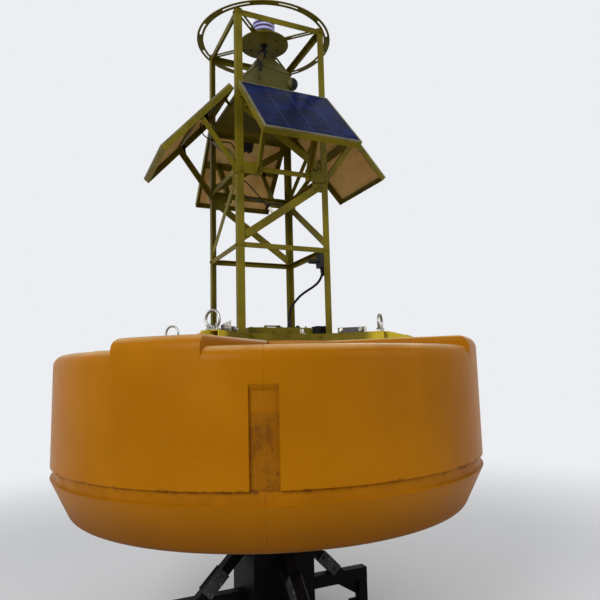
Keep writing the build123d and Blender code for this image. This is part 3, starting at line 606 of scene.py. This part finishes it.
plinth_fixings = bmesh.new()
for x, turn in ((-fixing_spread, -18), (fixing_spread, 32)):
    for y in (-fixing_spread, 0, fixing_spread):
        add_bolt(plinth_fixings, (x, y, plinth_top), (0, 0, 1), fixing_across, 0, turn)
for azimuth, along in clamp_table:
    clamp = seat_round(azimuth, plinth_half, along, deck_top)
    add_block(plinth_fixings, shifted(clamp, 0.003, 0, 0.017), (0.006, 0.026, 0.034), 0.0012)
    add_block(plinth_fixings, shifted(clamp, 0.016, 0, 0.003), (0.032, 0.026, 0.006), 0.0012)
    add_bolt(plinth_fixings, clamp @ Vector((0.020, 0, 0.006)), (0, 0, 1), 0.011, 0.003)
    add_bolt(plinth_fixings, clamp @ Vector((0.006, 0, 0.023)), round_to(azimuth, 1, 0, 0), 0.010)
new_piece("plinth_fixings", plinth_fixings, bolt_steel)

hole_plugs = bmesh.new()
for along in (-plug_spacing, plug_spacing):
    plug = stand((along, -plinth_half, plug_height), (0, -1, 0))
    add_drum(hole_plugs, plug, 0.011, -0.001, 0.004, 20, 0.0015)
    add_drum(hole_plugs, plug, 0.006, 0.003, 0.007, 6, 0.001)
new_piece("plinth_plugs", hole_plugs, tower_paint)


# Tower: four 40 mm angle posts with angle bars at each level and flat diagonals, bolted through
# the flanges and welded at the corners, all in the same brushed yellow-green paint.
tower_half, flange_middle, gusset_face = 0.286, 0.264, 0.282
bar_levels, top_bar_level = (2.216, 2.665, 3.085), 3.611
bar_half_height, bar_weld_side = 0.014, 0.246
tower_bolt_across = 0.013
# distance from the axis, distance of each end from the side's middle, height, size
post_weld_table = ((tower_half + 0.0004, (0.248, tower_half), deck_top + 0.001, 0.0030),
                   (tower_half, (0.249, 0.284), 3.6325, 0.0024))
# distance from the side's middle, height
gusset_bolt_table = ((0.206, 2.588), (0.206, 2.628), (0.236, 2.606), (-0.232, 2.268), (0.232, 2.722), (-0.232, 3.030))

dress([f"post_{name}" for name in "abcd"], tower_paint)
dress(["level_bars", "top_bars", "lower_diagonals", "upper_diagonals"], tower_paint)

tower_bolts = bmesh.new()
tower_welds = bmesh.new()
for azimuth in side_azimuths:
    outward = round_to(azimuth, 1, 0, 0)
    for level in bar_levels + (top_bar_level,):
        for side in (-flange_middle, flange_middle):
            spot = round_to(azimuth, tower_half, side, level)
            add_bolt(tower_bolts, spot, outward, tower_bolt_across, 0, 100 * side + 9 * level)
    for across, level in gusset_bolt_table:
        spot = round_to(azimuth, gusset_face, across, level)
        add_bolt(tower_bolts, spot, outward, tower_bolt_across, 0, 60 * across)
    for level in bar_levels:
        add_paired_welds(tower_welds, azimuth, bar_weld_side, (gusset_face, level - bar_half_height),
                         (gusset_face, level + bar_half_height), 0.0022)
    for out, ends, level, size in post_weld_table:
        for side in (-1, 1):
            start, end = (round_to(azimuth, out, side * across, level) for across in ends)
            add_weld(tower_welds, start, end, size)
new_piece("tower_bolts", tower_bolts, tower_paint)
new_piece("tower_welds", tower_welds, tower_paint, smooth=True)


# Solar modules: a dark blue sheet of cells under glass with a thin anodised edge, and a tan
# backing sheet. The cells stand in columns down the slope, parted by pale gaps and crossed by
# thin silver bars, and dust lies on the glass towards the lower edge.
panel_offset, panel_slope = 0.326, 48.2
cell_columns, cell_rows, bars_in_cell = 4, 9, 12
glass_width, glass_length, cells_start = 0.540, 0.560, 0.01
cell_blue, cell_light_blue = rgb(3, 9, 34), rgb(7, 30, 92)
gap_colour, glass_dust = rgb(60, 76, 118), rgb(112, 104, 84)
sheet_tan, sheet_brown = rgb(226, 194, 134), rgb(202, 168, 108)

solar, shader, place = finish("solar_module")
x, y = place.axes()[:2]
front_or_back = abs(y) > abs(x)
along = front_or_back * x + (1 - front_or_back) * y
down = (abs(x).larger(abs(y)) - panel_offset) * (1 / math.cos(math.radians(panel_slope)))
column = (along + glass_width / 2) * (cell_columns / glass_width)
row = (down - cells_start) * (cell_rows / glass_length)
column_gap = abs(column.fraction() - 0.5).step(0.484, 0.494)
row_gap = abs(row.fraction() - 0.5).step(0.474, 0.490)
bars = abs((column * bars_in_cell).fraction() - 0.5).step(0.44, 0.48)
flakes = place.node("ShaderNodeTexVoronoi", {"Vector": place, "Scale": 90}, output=1).axes()[0]
cells = (0.6 * place.noise(7, 3).step(0.35, 0.7)).blend(cell_blue, cell_light_blue)
cells = (0.14 * flakes).blend(cells, cell_light_blue)
cells = (0.05 * bars).blend(cells, gap_colour)
cells = (0.7 * column_gap.larger(row_gap * 0.5)).blend(cells, gap_colour)
dust = down.step(0.2, 0.6) * place.noise(18, 5).step(0.35, 0.8)
cells = (0.015 * dust).blend(cells, glass_dust)
back = place.noise(11, 5).step(0.3, 0.8).blend(sheet_tan, sheet_brown)
facing = place.surface_normal().axes()[2] > 0
feed(shader, Base_Color=facing.blend(back, cells), Roughness=0.6 - 0.38 * facing + 0.3 * dust,
     Normal=place.bump(place.noise(30, 3), 0.0003), Specular_IOR_Level=0.012)
dress(["panel_laminates"], solar)

aluminium, shader, place = finish("anodised_edge")
drawn = place.noise(200, 2, 0.5, (8, 8, 1))
tarnish = place.noise(12, 5).step(0.35, 0.7)
feed(shader, Base_Color=tarnish.blend(rgb(112, 106, 74), rgb(84, 78, 46)), Metallic=0.5,
     Roughness=0.42 + 0.14 * drawn, Normal=place.bump(drawn, 0.0001))
dress(["module_edges"], aluminium)

# Panel frames: painted steel angle round each module with a flat across its back. Two angle
# props carry it from plates bolted at level 2, and two plates hang it from the shelf's bars.
# The props meet the flat in welded triangular gussets.
level_2, panel_top = bar_levels[1], 3.157
prop_plate_face, prop_foot_height = 0.292, level_2 + 0.026
bracket_middle, bracket_x, bracket_half_thickness, bracket_bolt_level = 0.308, 0.150, 0.003, 3.116
seat_depth, gusset_height, gusset_length, gusset_thickness = 0.018, 0.040, 0.075, 0.005
frame_bolt_side, frame_bolt_depth, frame_bolts_down = 0.264, 0.013, (0.06, 0.52)
prop_bolt_across, bracket_bolt_across, frame_bolt_across = 0.013, 0.012, 0.010
# side's azimuth, distance of each prop from the middle, distance of its top down the slope,
# distance from the middle of the upper and of the lower bolt at its foot
prop_table = ((270, 0.170, 0.200, 0.154, 0.270), (0, 0.272, 0.258, 0.256, 0.256),
              (90, 0.170, 0.262, 0.154, 0.270), (180, 0.272, 0.258, 0.256, 0.256))

dress(["panel_props", "panel_brackets"] + [f"panel_frame_{k}" for k in range(1, 5)], tower_paint)


def under_panel(azimuth, along, down, depth):
    """A point under a panel: along its top edge, down its slope, and below its glass."""
    slope = math.radians(panel_slope)
    outward = panel_offset + down * math.cos(slope) - depth * math.sin(slope)
    height = panel_top - down * math.sin(slope) - depth * math.cos(slope)
    return round_to(azimuth, outward, along, height)


prop_gussets = bmesh.new()
panel_bolts = bmesh.new()
for azimuth, offset, down, upper_bolt, lower_bolt in prop_table:
    outward = round_to(azimuth, 1, 0, 0)
    sideways = round_to(azimuth, 0, 1, 0)
    beneath = under_panel(azimuth, 0, 0, 1) - under_panel(azimuth, 0, 0, 0)
    for side in (-1, 1):
        seat = under_panel(azimuth, side * offset, down, seat_depth)
        foot = round_to(azimuth, prop_plate_face, side * offset, prop_foot_height)
        upslope = under_panel(azimuth, side * offset, down - gusset_height, seat_depth)
        low = seat.lerp(foot, gusset_length / (foot - seat).length)
        triangle = [prop_gussets.verts.new(corner + 0.0015 * sideways) for corner in (seat, upslope, low)]
        prop_gussets.faces.new(triangle)
        for across, height in ((upper_bolt, level_2 - 0.006), (lower_bolt, level_2 - 0.022)):
            spot = round_to(azimuth, prop_plate_face, side * across, height)
            add_bolt(panel_bolts, spot, outward, prop_bolt_across, 0, 31 * side)
        for face in (-1, 1):
            across = side * bracket_x + face * bracket_half_thickness
            spot = round_to(azimuth, bracket_middle, across, bracket_bolt_level)
            add_bolt(panel_bolts, spot, face * sideways, bracket_bolt_across)
        for place_down in frame_bolts_down:
            spot = under_panel(azimuth, side * frame_bolt_side, place_down, frame_bolt_depth)
            add_bolt(panel_bolts, spot, beneath, frame_bolt_across)
bmesh.ops.solidify(prop_gussets, geom=prop_gussets.faces[:], thickness=gusset_thickness)
point_outwards(prop_gussets)
new_piece("prop_gussets", prop_gussets, tower_paint)
new_piece("panel_bolts", panel_bolts, tower_paint)

# Junction boxes on the modules' backs: moulded black boxes with a screwed lid, a ribbed edge and
# two sealed cable entries facing down the slope.
junction_depth = 0.0285
# side's azimuth, distance from the middle, distance of the middle down the slope
junction_table = ((270, 0, 0.095), (0, 0, 0.095), (90, -0.008, 0.084), (180, 0.155, 0.136))

dress(["junction_boxes"], black_plastic)
junction_details = bmesh.new()
for azimuth, along, down in junction_table:
    middle = under_panel(azimuth, along, down, junction_depth)
    beneath = middle - under_panel(azimuth, along, down, 0)
    downslope = (under_panel(azimuth, along, down + 1, 0) - under_panel(azimuth, along, down, 0)).normalized()
    sideways = round_to(azimuth, 0, 1, 0)
    normal = sideways.cross(downslope)
    seat = Matrix.Identity(4)
    for column, axis in enumerate((sideways, downslope, normal)):
        seat.col[column][:3] = axis
    out = 1 if normal.dot(beneath) > 0 else -1
    seat.translation = middle
    add_block(junction_details, shifted(seat, 0, 0, 0.0015 * out), (0.066, 0.068, 0.004), 0.0012)
    for side in (-0.026, 0.026):
        for end in (-0.027, 0.027):
            add_drum(junction_details, shifted(seat, side, end, 0.0045 * out), 0.0035, -0.0015, 0.0015, 12, 0.0005)
    for side in (-0.018, 0.018):
        entry = stand(seat @ Vector((side, 0.039, -0.011 * out)), downslope)
        add_drum(junction_details, entry, 0.0085, -0.001, 0.007, 6, 0.0008)
        add_drum(junction_details, entry, 0.0065, 0.006, 0.016, 16, 0.001, top_radius=0.0045)
new_piece("junction_box_details", junction_details, black_plastic)


# Shelf and instrument box: a folded shelf between the bars, and a square steel box turned a
# little on it, with a flat lid. The box has a hinged door with a lever latch, cable entries in
# its side, and a painted round knob let into one corner, whose outer half is painted near black
# as painted shade.
box_turn, box_half = 9.5, 0.125
box_low, box_high = 3.104, 3.389
knob_azimuth, knob_shade_from = 324.5, 0.190
door_hinges, door_screw_heights, door_screw_sides = (-0.085, 0.075), (-0.105, 0.092), (-0.080, 0.090)
entry_places, entry_drop = (-0.060, 0, 0.060), 0.105

dress(["shelf", "instrument_box", "box_hood"], tower_paint)

knob_finish, shader, place = finish("corner_knob")
x, y = place.axes()[:2]
knob_angle = math.radians(knob_azimuth)
# Painted shade: the knob's outer half is painted near black.
shaded_outer = (x * math.cos(knob_angle) + y * math.sin(knob_angle)) > knob_shade_from
wear = place.noise(40, 5).step(0.45, 0.75)
knob_paint = wear.blend(rgb(74, 71, 36), rgb(88, 84, 50))
knob_painted_shade = wear.blend(rgb(8, 7, 6), rgb(24, 21, 18))
feed(shader, Base_Color=shaded_outer.blend(knob_paint, knob_painted_shade),
     Roughness=0.45 + 0.15 * wear, Normal=place.bump(place.noise(300, 2), 0.0002), Specular_IOR_Level=0.2)
dress(["box_knob"], knob_finish)

box_details = bmesh.new()
box_bolts = bmesh.new()
box_frame = Matrix.Rotation(math.radians(box_turn), 4, "Z")
box_middle = (box_low + box_high) / 2
quarter_turn = Matrix.Rotation(math.radians(90), 4, "Y")
for azimuth in (270, 90):
    front = box_frame @ seat_round(azimuth, box_half, 0, box_middle)
    add_block(box_details, shifted(front, 0.0010, 0, -0.006), (0.004, 0.206, 0.240), 0.0015)
    for rise in door_hinges:
        add_drum(box_details, shifted(front, 0.004, -0.108, rise), 0.006, -0.022, 0.022, 16, 0.001)
    add_block(box_details, shifted(front, 0.005, 0.080, -0.010), (0.006, 0.018, 0.050), 0.0015)
    add_block(box_details, shifted(front, 0.010, 0.080, 0.004), (0.006, 0.012, 0.034), 0.0020)
    for rise in door_screw_heights:
        for side in door_screw_sides:
            add_drum(box_bolts, shifted(front @ quarter_turn, -rise, side, 0), 0.0045, 0.002, 0.005, 12, 0.001)
for azimuth in (0, 180):
    side_face = box_frame @ seat_round(azimuth, box_half, 0, box_middle)
    add_block(box_details, shifted(side_face, 0.0005, 0, 0), (0.003, 0.190, 0.030), 0.0010)
for corner in range(4):
    foot = box_frame @ seat_round(45 + 90 * corner, 0.150, 0, box_low)
    add_block(box_details, shifted(foot, 0.014, 0, 0.0025), (0.044, 0.030, 0.005), 0.0012)
    add_bolt(box_bolts, foot @ Vector((0.026, 0, 0.005)), (0, 0, 1), 0.010)
new_piece("box_door_and_feet", box_details, tower_paint)
new_piece("box_screws", box_bolts, tower_paint)

box_entries = bmesh.new()
for along in entry_places:
    entry = box_frame @ seat_round(180, box_half, along, box_middle - entry_drop) @ quarter_turn
    add_drum(box_entries, entry, 0.012, 0, 0.008, 6, 0.001)
    add_drum(box_entries, entry, 0.009, 0.007, 0.020, 20, 0.001, top_radius=0.006)
new_piece("box_cable_entries", box_entries, black_plastic)

# Hood and neck: four sheets folded up to a collar, with welded ridges and a flange over the lid.
# A conduit climbs the near ridge from a black bracket to a clamp. The neck above is black: its
# collar is black plastic, and the rest of it is black as painted shade under the disc.
hood_low, hood_high, hood_half, hood_top_half = 3.395, 3.563, 0.125, 0.017
bracket_azimuth, bracket_place = 238.5, (0.164, 0, 3.386)
conduit_foot, conduit_radius, conduit_low, conduit_high = (0.168, 0, 3.420), 0.015, -0.012, 0.130

# The neck is dressed black: real black at its collar, painted shade on the rest.
dress(["neck"], black_plastic)
hood_seams = bmesh.new()
for corner in range(4):
    ridge = box_frame @ Matrix.Rotation(math.radians(90 * corner), 4, "Z")
    add_weld(hood_seams, ridge @ Vector((hood_half, hood_half, hood_low)),
             ridge @ Vector((hood_top_half, hood_top_half, hood_high)), 0.0022)
    flange = shifted(ridge, 0, hood_half - 0.003, hood_low + 0.0005)
    add_block(hood_seams, flange, (0.240, 0.012, 0.004), 0.0010)
new_piece("hood_seams", hood_seams, tower_paint)

hood_bracket = bmesh.new()
bracket = seat_round(bracket_azimuth, *bracket_place)
add_block(hood_bracket, shifted(bracket, 0, -0.004, 0.010), (0.022, 0.046, 0.022), 0.0040)
add_block(hood_bracket, shifted(bracket, 0.004, 0.006, -0.012), (0.010, 0.016, 0.040), 0.0020)
add_drum(hood_bracket, shifted(bracket, 0, -0.012, 0.020), 0.008, 0, 0.006, 16, 0.001)
ridge_lean = math.atan2((hood_half - hood_top_half) * math.sqrt(2), hood_high - hood_low)
conduit = seat_round(bracket_azimuth, *conduit_foot) @ Matrix.Rotation(-ridge_lean, 4, "Y")
add_block(hood_bracket, shifted(conduit, 0, 0, 0.136), (0.040, 0.050, 0.028), 0.0060)
new_piece("hood_bracket", hood_bracket, black_plastic)

conduit_finish, shader, place = finish("hood_conduit")
grimy = place.noise(30, 5).step(0.40, 0.66)
feed(shader, Base_Color=grimy.blend(rgb(76, 63, 32), rgb(50, 42, 22)), Roughness=0.62 + 0.14 * grimy,
     Normal=place.bump(place.noise(260, 3), 0.0002), Specular_IOR_Level=0.2)
hood_conduit = bmesh.new()
add_drum(hood_conduit, conduit, conduit_radius, conduit_low, conduit_high, 24, 0.001)
new_piece("hood_conduit", hood_conduit, conduit_finish)


# Top ring, cross bars and disc: a slit ring of flat steel welded on the posts, with four slit
# flats that carry the lantern's disc. Six nuts hang under the disc and one bolt holds each flat.
disc_low, disc_high, disc_nut_circle = 3.620, 3.629, 0.100
cross_top, inner_bolt, outer_bolt = 3.634, 0.147, 0.368
ring_weld_level = 3.6335

dress(["guard_ring", "cross_bars", "lantern_disc"], tower_paint)
disc_bolts = bmesh.new()
for k in range(6):
    spot = round_to(7 + 60 * k, disc_nut_circle, 0, disc_low)
    add_bolt(disc_bolts, spot, (0, 0, -1), 0.012, 0.006, 14 * k)
for azimuth in corner_azimuths:
    for radius, level, outward, end in ((inner_bolt, cross_top, 1, 0), (outer_bolt, cross_top, 1, 0),
                                        (inner_bolt, disc_low, -1, 0.004)):
        add_bolt(disc_bolts, round_to(azimuth, radius, 0, level), (0, 0, outward), 0.010, end, azimuth)
new_piece("disc_bolts", disc_bolts, tower_paint)

ring_welds = bmesh.new()
for azimuth in corner_azimuths:
    add_paired_welds(ring_welds, azimuth, 0.017, (0.370, ring_weld_level), (0.381, ring_weld_level), 0.0022)
    add_paired_welds(ring_welds, azimuth, 0.012, (0.156, disc_high), (0.162, disc_high), 0.002)
new_piece("ring_welds", ring_welds, tower_paint, smooth=True)


# Lantern: a dark moulded body bolted to the disc by its lip, under a domed lens of clear plastic
# with a violet tint. The lens is moulded with fine level ribs, and two dark rings of the lamp
# show through it. The top of the dome is painted paler as a painted highlight.
lens_low, lens_radius, lens_height, lens_round = 3.700, 0.074, 0.096, 0.040
lens_wall, rib_depth, rib_count, dome_steps = 0.0035, 0.0004, 14, 12
screw_circle = 0.060
band_heights, band_edge, highlight_edge = (0.0225, 0.0485), (0.0064, 0.0094), (0.056, 0.072)
# lowest and highest level of each lip of the body, and its radius
lip_table = ((3.6885, 3.6995, 0.0720), (3.648, 3.652, 0.0585), (3.664, 3.668, 0.0585))

lantern_dark, shader, place = finish("lantern_body")
grain = place.noise(350, 2)
feed(shader, Base_Color=grain.blend(rgb(26, 24, 20), rgb(44, 40, 34)), Roughness=0.5 + 0.1 * grain,
     Normal=place.bump(grain, 0.0002))
dress(["lantern_base"], lantern_dark)

lens_clear, shader, place = finish("lantern_lens")
haze = place.noise(26, 4).step(0.4, 0.8)
height = place.axes()[2] - lens_low
low_band, high_band = (1 - abs(height - middle).step(*band_edge) for middle in band_heights)
violet, hazy_violet, highlight_violet = rgb(166, 160, 218), rgb(196, 192, 236), rgb(206, 204, 236)
band_blue = rgb(16, 18, 30)
glass = haze.blend(violet, hazy_violet)
# Painted highlight: the top of the dome is painted paler.
glass = (0.8 * height.step(*highlight_edge)).blend(glass, highlight_violet)
feed(shader, Base_Color=(0.94 * (low_band + high_band)).blend(glass, band_blue), Roughness=0.20 + 0.12 * haze,
     Normal=place.bump(place.noise(12, 2), 0.0002), Specular_IOR_Level=0.3)

lens = bmesh.new()
profile = [lens.verts.new((lens_radius, 0, lens_low))]
straight = lens_height - lens_round
for k in range(1, rib_count * 2 + 1):
    inset = rib_depth if k % 2 else 0
    profile.append(lens.verts.new((lens_radius - inset, 0, lens_low + straight * k / (rib_count * 2))))
for k in range(1, dome_steps + 1):
    bend = math.radians(90 * k / dome_steps)
    profile.append(lens.verts.new((lens_radius - lens_round * (1 - math.cos(bend)), 0,
                                   lens_low + straight + lens_round * math.sin(bend))))
profile.append(lens.verts.new((0, 0, lens_low + lens_height)))
edges = [lens.edges.new(pair) for pair in zip(profile, profile[1:])]
bmesh.ops.spin(lens, geom=profile + edges, cent=(0, 0, 0), axis=(0, 0, 1), angle=math.tau, steps=72, use_merge=True)
bmesh.ops.remove_doubles(lens, verts=lens.verts[:], dist=0.00001)
point_outwards(lens)
bmesh.ops.solidify(lens, geom=lens.faces[:], thickness=lens_wall)
lens_piece = new_piece("lantern_lens_shell", lens, lens_clear, smooth=True)
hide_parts("lantern_lens")

lantern_fixings = bmesh.new()
for k in range(4):
    screw = stand(round_to(30 + 90 * k, screw_circle, 0, disc_high + 0.008), (0, 0, 1))
    add_drum(lantern_fixings, screw, 0.0035, -0.0005, 0.003, 6, 0.0005)
new_piece("lantern_screws", lantern_fixings, bolt_steel)
lantern_collar = bmesh.new()
for low, high, radius in lip_table:
    add_drum(lantern_collar, Matrix.Identity(4), radius, low, high, 48, 0.0012)
new_piece("lantern_collar", lantern_collar, lantern_dark)


# Deck fittings: three domed glands with hexagon nuts on the plinth, a black connector box on the
# deck, and the cable joint in the corner of post b with its ribbed plug and tapered boot.
deck_box_middle, deck_box_top, box_screw_spacing = (0.244, -0.205), deck_top + 0.046, 0.027
joint_middle, joint_top = (0.252, -0.252), 2.199
boot_place, boot_rings, boot_pitch = (0.251, -0.251, 2.115), 5, 0.007
plug_place, plug_ribs = (0.222, -0.252, 2.151), (0.016, 0.026, 0.036, 0.046)
# a gland's place on the plinth, and the radius of its nut
gland_table = ((0.067, -0.165, 0.0175), (-0.003, -0.165, 0.0165), (0.119, -0.165, 0.0165))

dress(["deck_box", "cable_joint", "cable_glands", "cable_clips"], black_plastic)
fittings = bmesh.new()
for x, y, radius in gland_table:
    add_drum(fittings, Matrix.Translation((x, y, plinth_top)), radius, 0, 0.007, 6, 0.0010)
deck_box_lid = Matrix.Translation((*deck_box_middle, deck_box_top))
add_block(fittings, deck_box_lid, (0.074, 0.074, 0.006), 0.0015)
for side_x in (-box_screw_spacing, box_screw_spacing):
    for side_y in (-box_screw_spacing, box_screw_spacing):
        add_drum(fittings, shifted(deck_box_lid, side_x, side_y, 0), 0.0042, 0.002, 0.0045, 12, 0.0008)
joint_lid = Matrix.Translation((*joint_middle, joint_top))
add_block(fittings, joint_lid, (0.056, 0.056, 0.006), 0.0015)
for drop in (-0.028, -0.060):
    add_block(fittings, shifted(joint_lid, 0, 0, drop), (0.0605, 0.0605, 0.005), 0.0012)
boot = Matrix.Translation(boot_place)
add_drum(fittings, boot, 0.014, -0.012, 0.001, 6, 0.0010)
for k in range(boot_rings):
    top = -0.0120 - boot_pitch * k
    add_drum(fittings, boot, 0.0135 - 0.0008 * k, top - 0.0055, top, 20, 0.0010)
    add_drum(fittings, boot, 0.0110 - 0.0006 * k, top - 0.0080, top, 20)
plug = stand(plug_place, (-1, 0, 0))
for rib in plug_ribs:
    add_drum(fittings, plug, 0.0152, rib, rib + 0.004, 24, 0.0006)
new_piece("cable_fittings", fittings, black_plastic)


# Cables: the main cable rises from the tall gland to the joint on post b. One thin lead hangs
# from the left module to post a, one runs down to a plug, and one crosses the tower inside.
# All are round cable in black rubber, held in small clips.
millimetre = 0.001

sheath, shader, place = finish("cable_sheath")
scuff = place.noise(60, 5)
feed(shader, Base_Color=scuff.step(0.6, 0.8).blend(rgb(7, 7, 8), rgb(30, 28, 26)),
     Roughness=0.45 + 0.25 * scuff, Normal=place.bump(place.noise(900, 2), 0.0001), Specular_IOR_Level=0.12)


def cable(name, node, diameter, route):
    curve = bpy.data.curves.new(name, "CURVE")
    curve.dimensions = "3D"
    spline = curve.splines.new("NURBS")
    spline.points.add(len(route) - 1)
    for point, (x, y, z) in zip(spline.points, route):
        point.co = (x * millimetre, y * millimetre, z * millimetre, 1)
    spline.order_u = 3
    spline.use_endpoint_u = True
    spline.resolution_u = 12
    curve.bevel_depth = diameter / 2
    curve.bevel_resolution = 3
    curve.use_fill_caps = True
    piece = bpy.data.objects.new(name, curve)
    bpy.context.collection.objects.link(piece)
    piece.data.materials.append(sheath)
    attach(piece, "root")
    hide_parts(node)


cable("main_cable", "cable_main", 0.015,
      ((67, -165, 1810), (67, -165, 1846), (80, -168, 1884), (104, -174, 1920), (136, -183, 1956),
       (172, -195, 1982), (205, -211, 2004), (231, -229, 2028), (245, -244, 2058), (251, -251, 2088),
       (251, -251, 2115)))
cable("left_lead", "lead_left", 0.007,
      ((-462, -156, 2944), (-460, -152, 2908), (-438, -132, 2882), (-396, -104, 2878), (-352, -66, 2888),
       (-316, -50, 2894), (-290, -54, 2897), (-269, -69, 2892), (-258, -92, 2878), (-257, -122, 2854),
       (-256, -160, 2812), (-259, -198, 2766), (-261, -232, 2726), (-262, -259.8, 2705)))
cable("front_lead", "lead_front", 0.007,
      ((-249.6, -271, 2600), (-222, -271, 2576), (-186, -271, 2541), (-148, -271, 2504),
       (-115, -271, 2468), (-93, -271, 2446)))
cable("cross_lead", "lead_cross", 0.007,
      ((-251.3, -262.3, 2520), (-216, -228, 2514), (-156, -164, 2522), (-92, -92, 2538),
       (-24, -22, 2558), (46, 52, 2580), (116, 124, 2602), (180, 192, 2622), (224, 236, 2634),
       (251.3, 262.3, 2636)))

white_plastic, shader, place = finish("white_plastic")
grain = place.noise(400, 2)
dirt = place.noise(60, 4).step(0.55, 0.8)
feed(shader, Base_Color=(0.35 * dirt).blend(rgb(216, 214, 204), rgb(140, 130, 112)),
     Roughness=0.4 + 0.2 * grain, Normal=place.bump(grain, 0.0001))
dress(["lead_connector"], white_plastic)
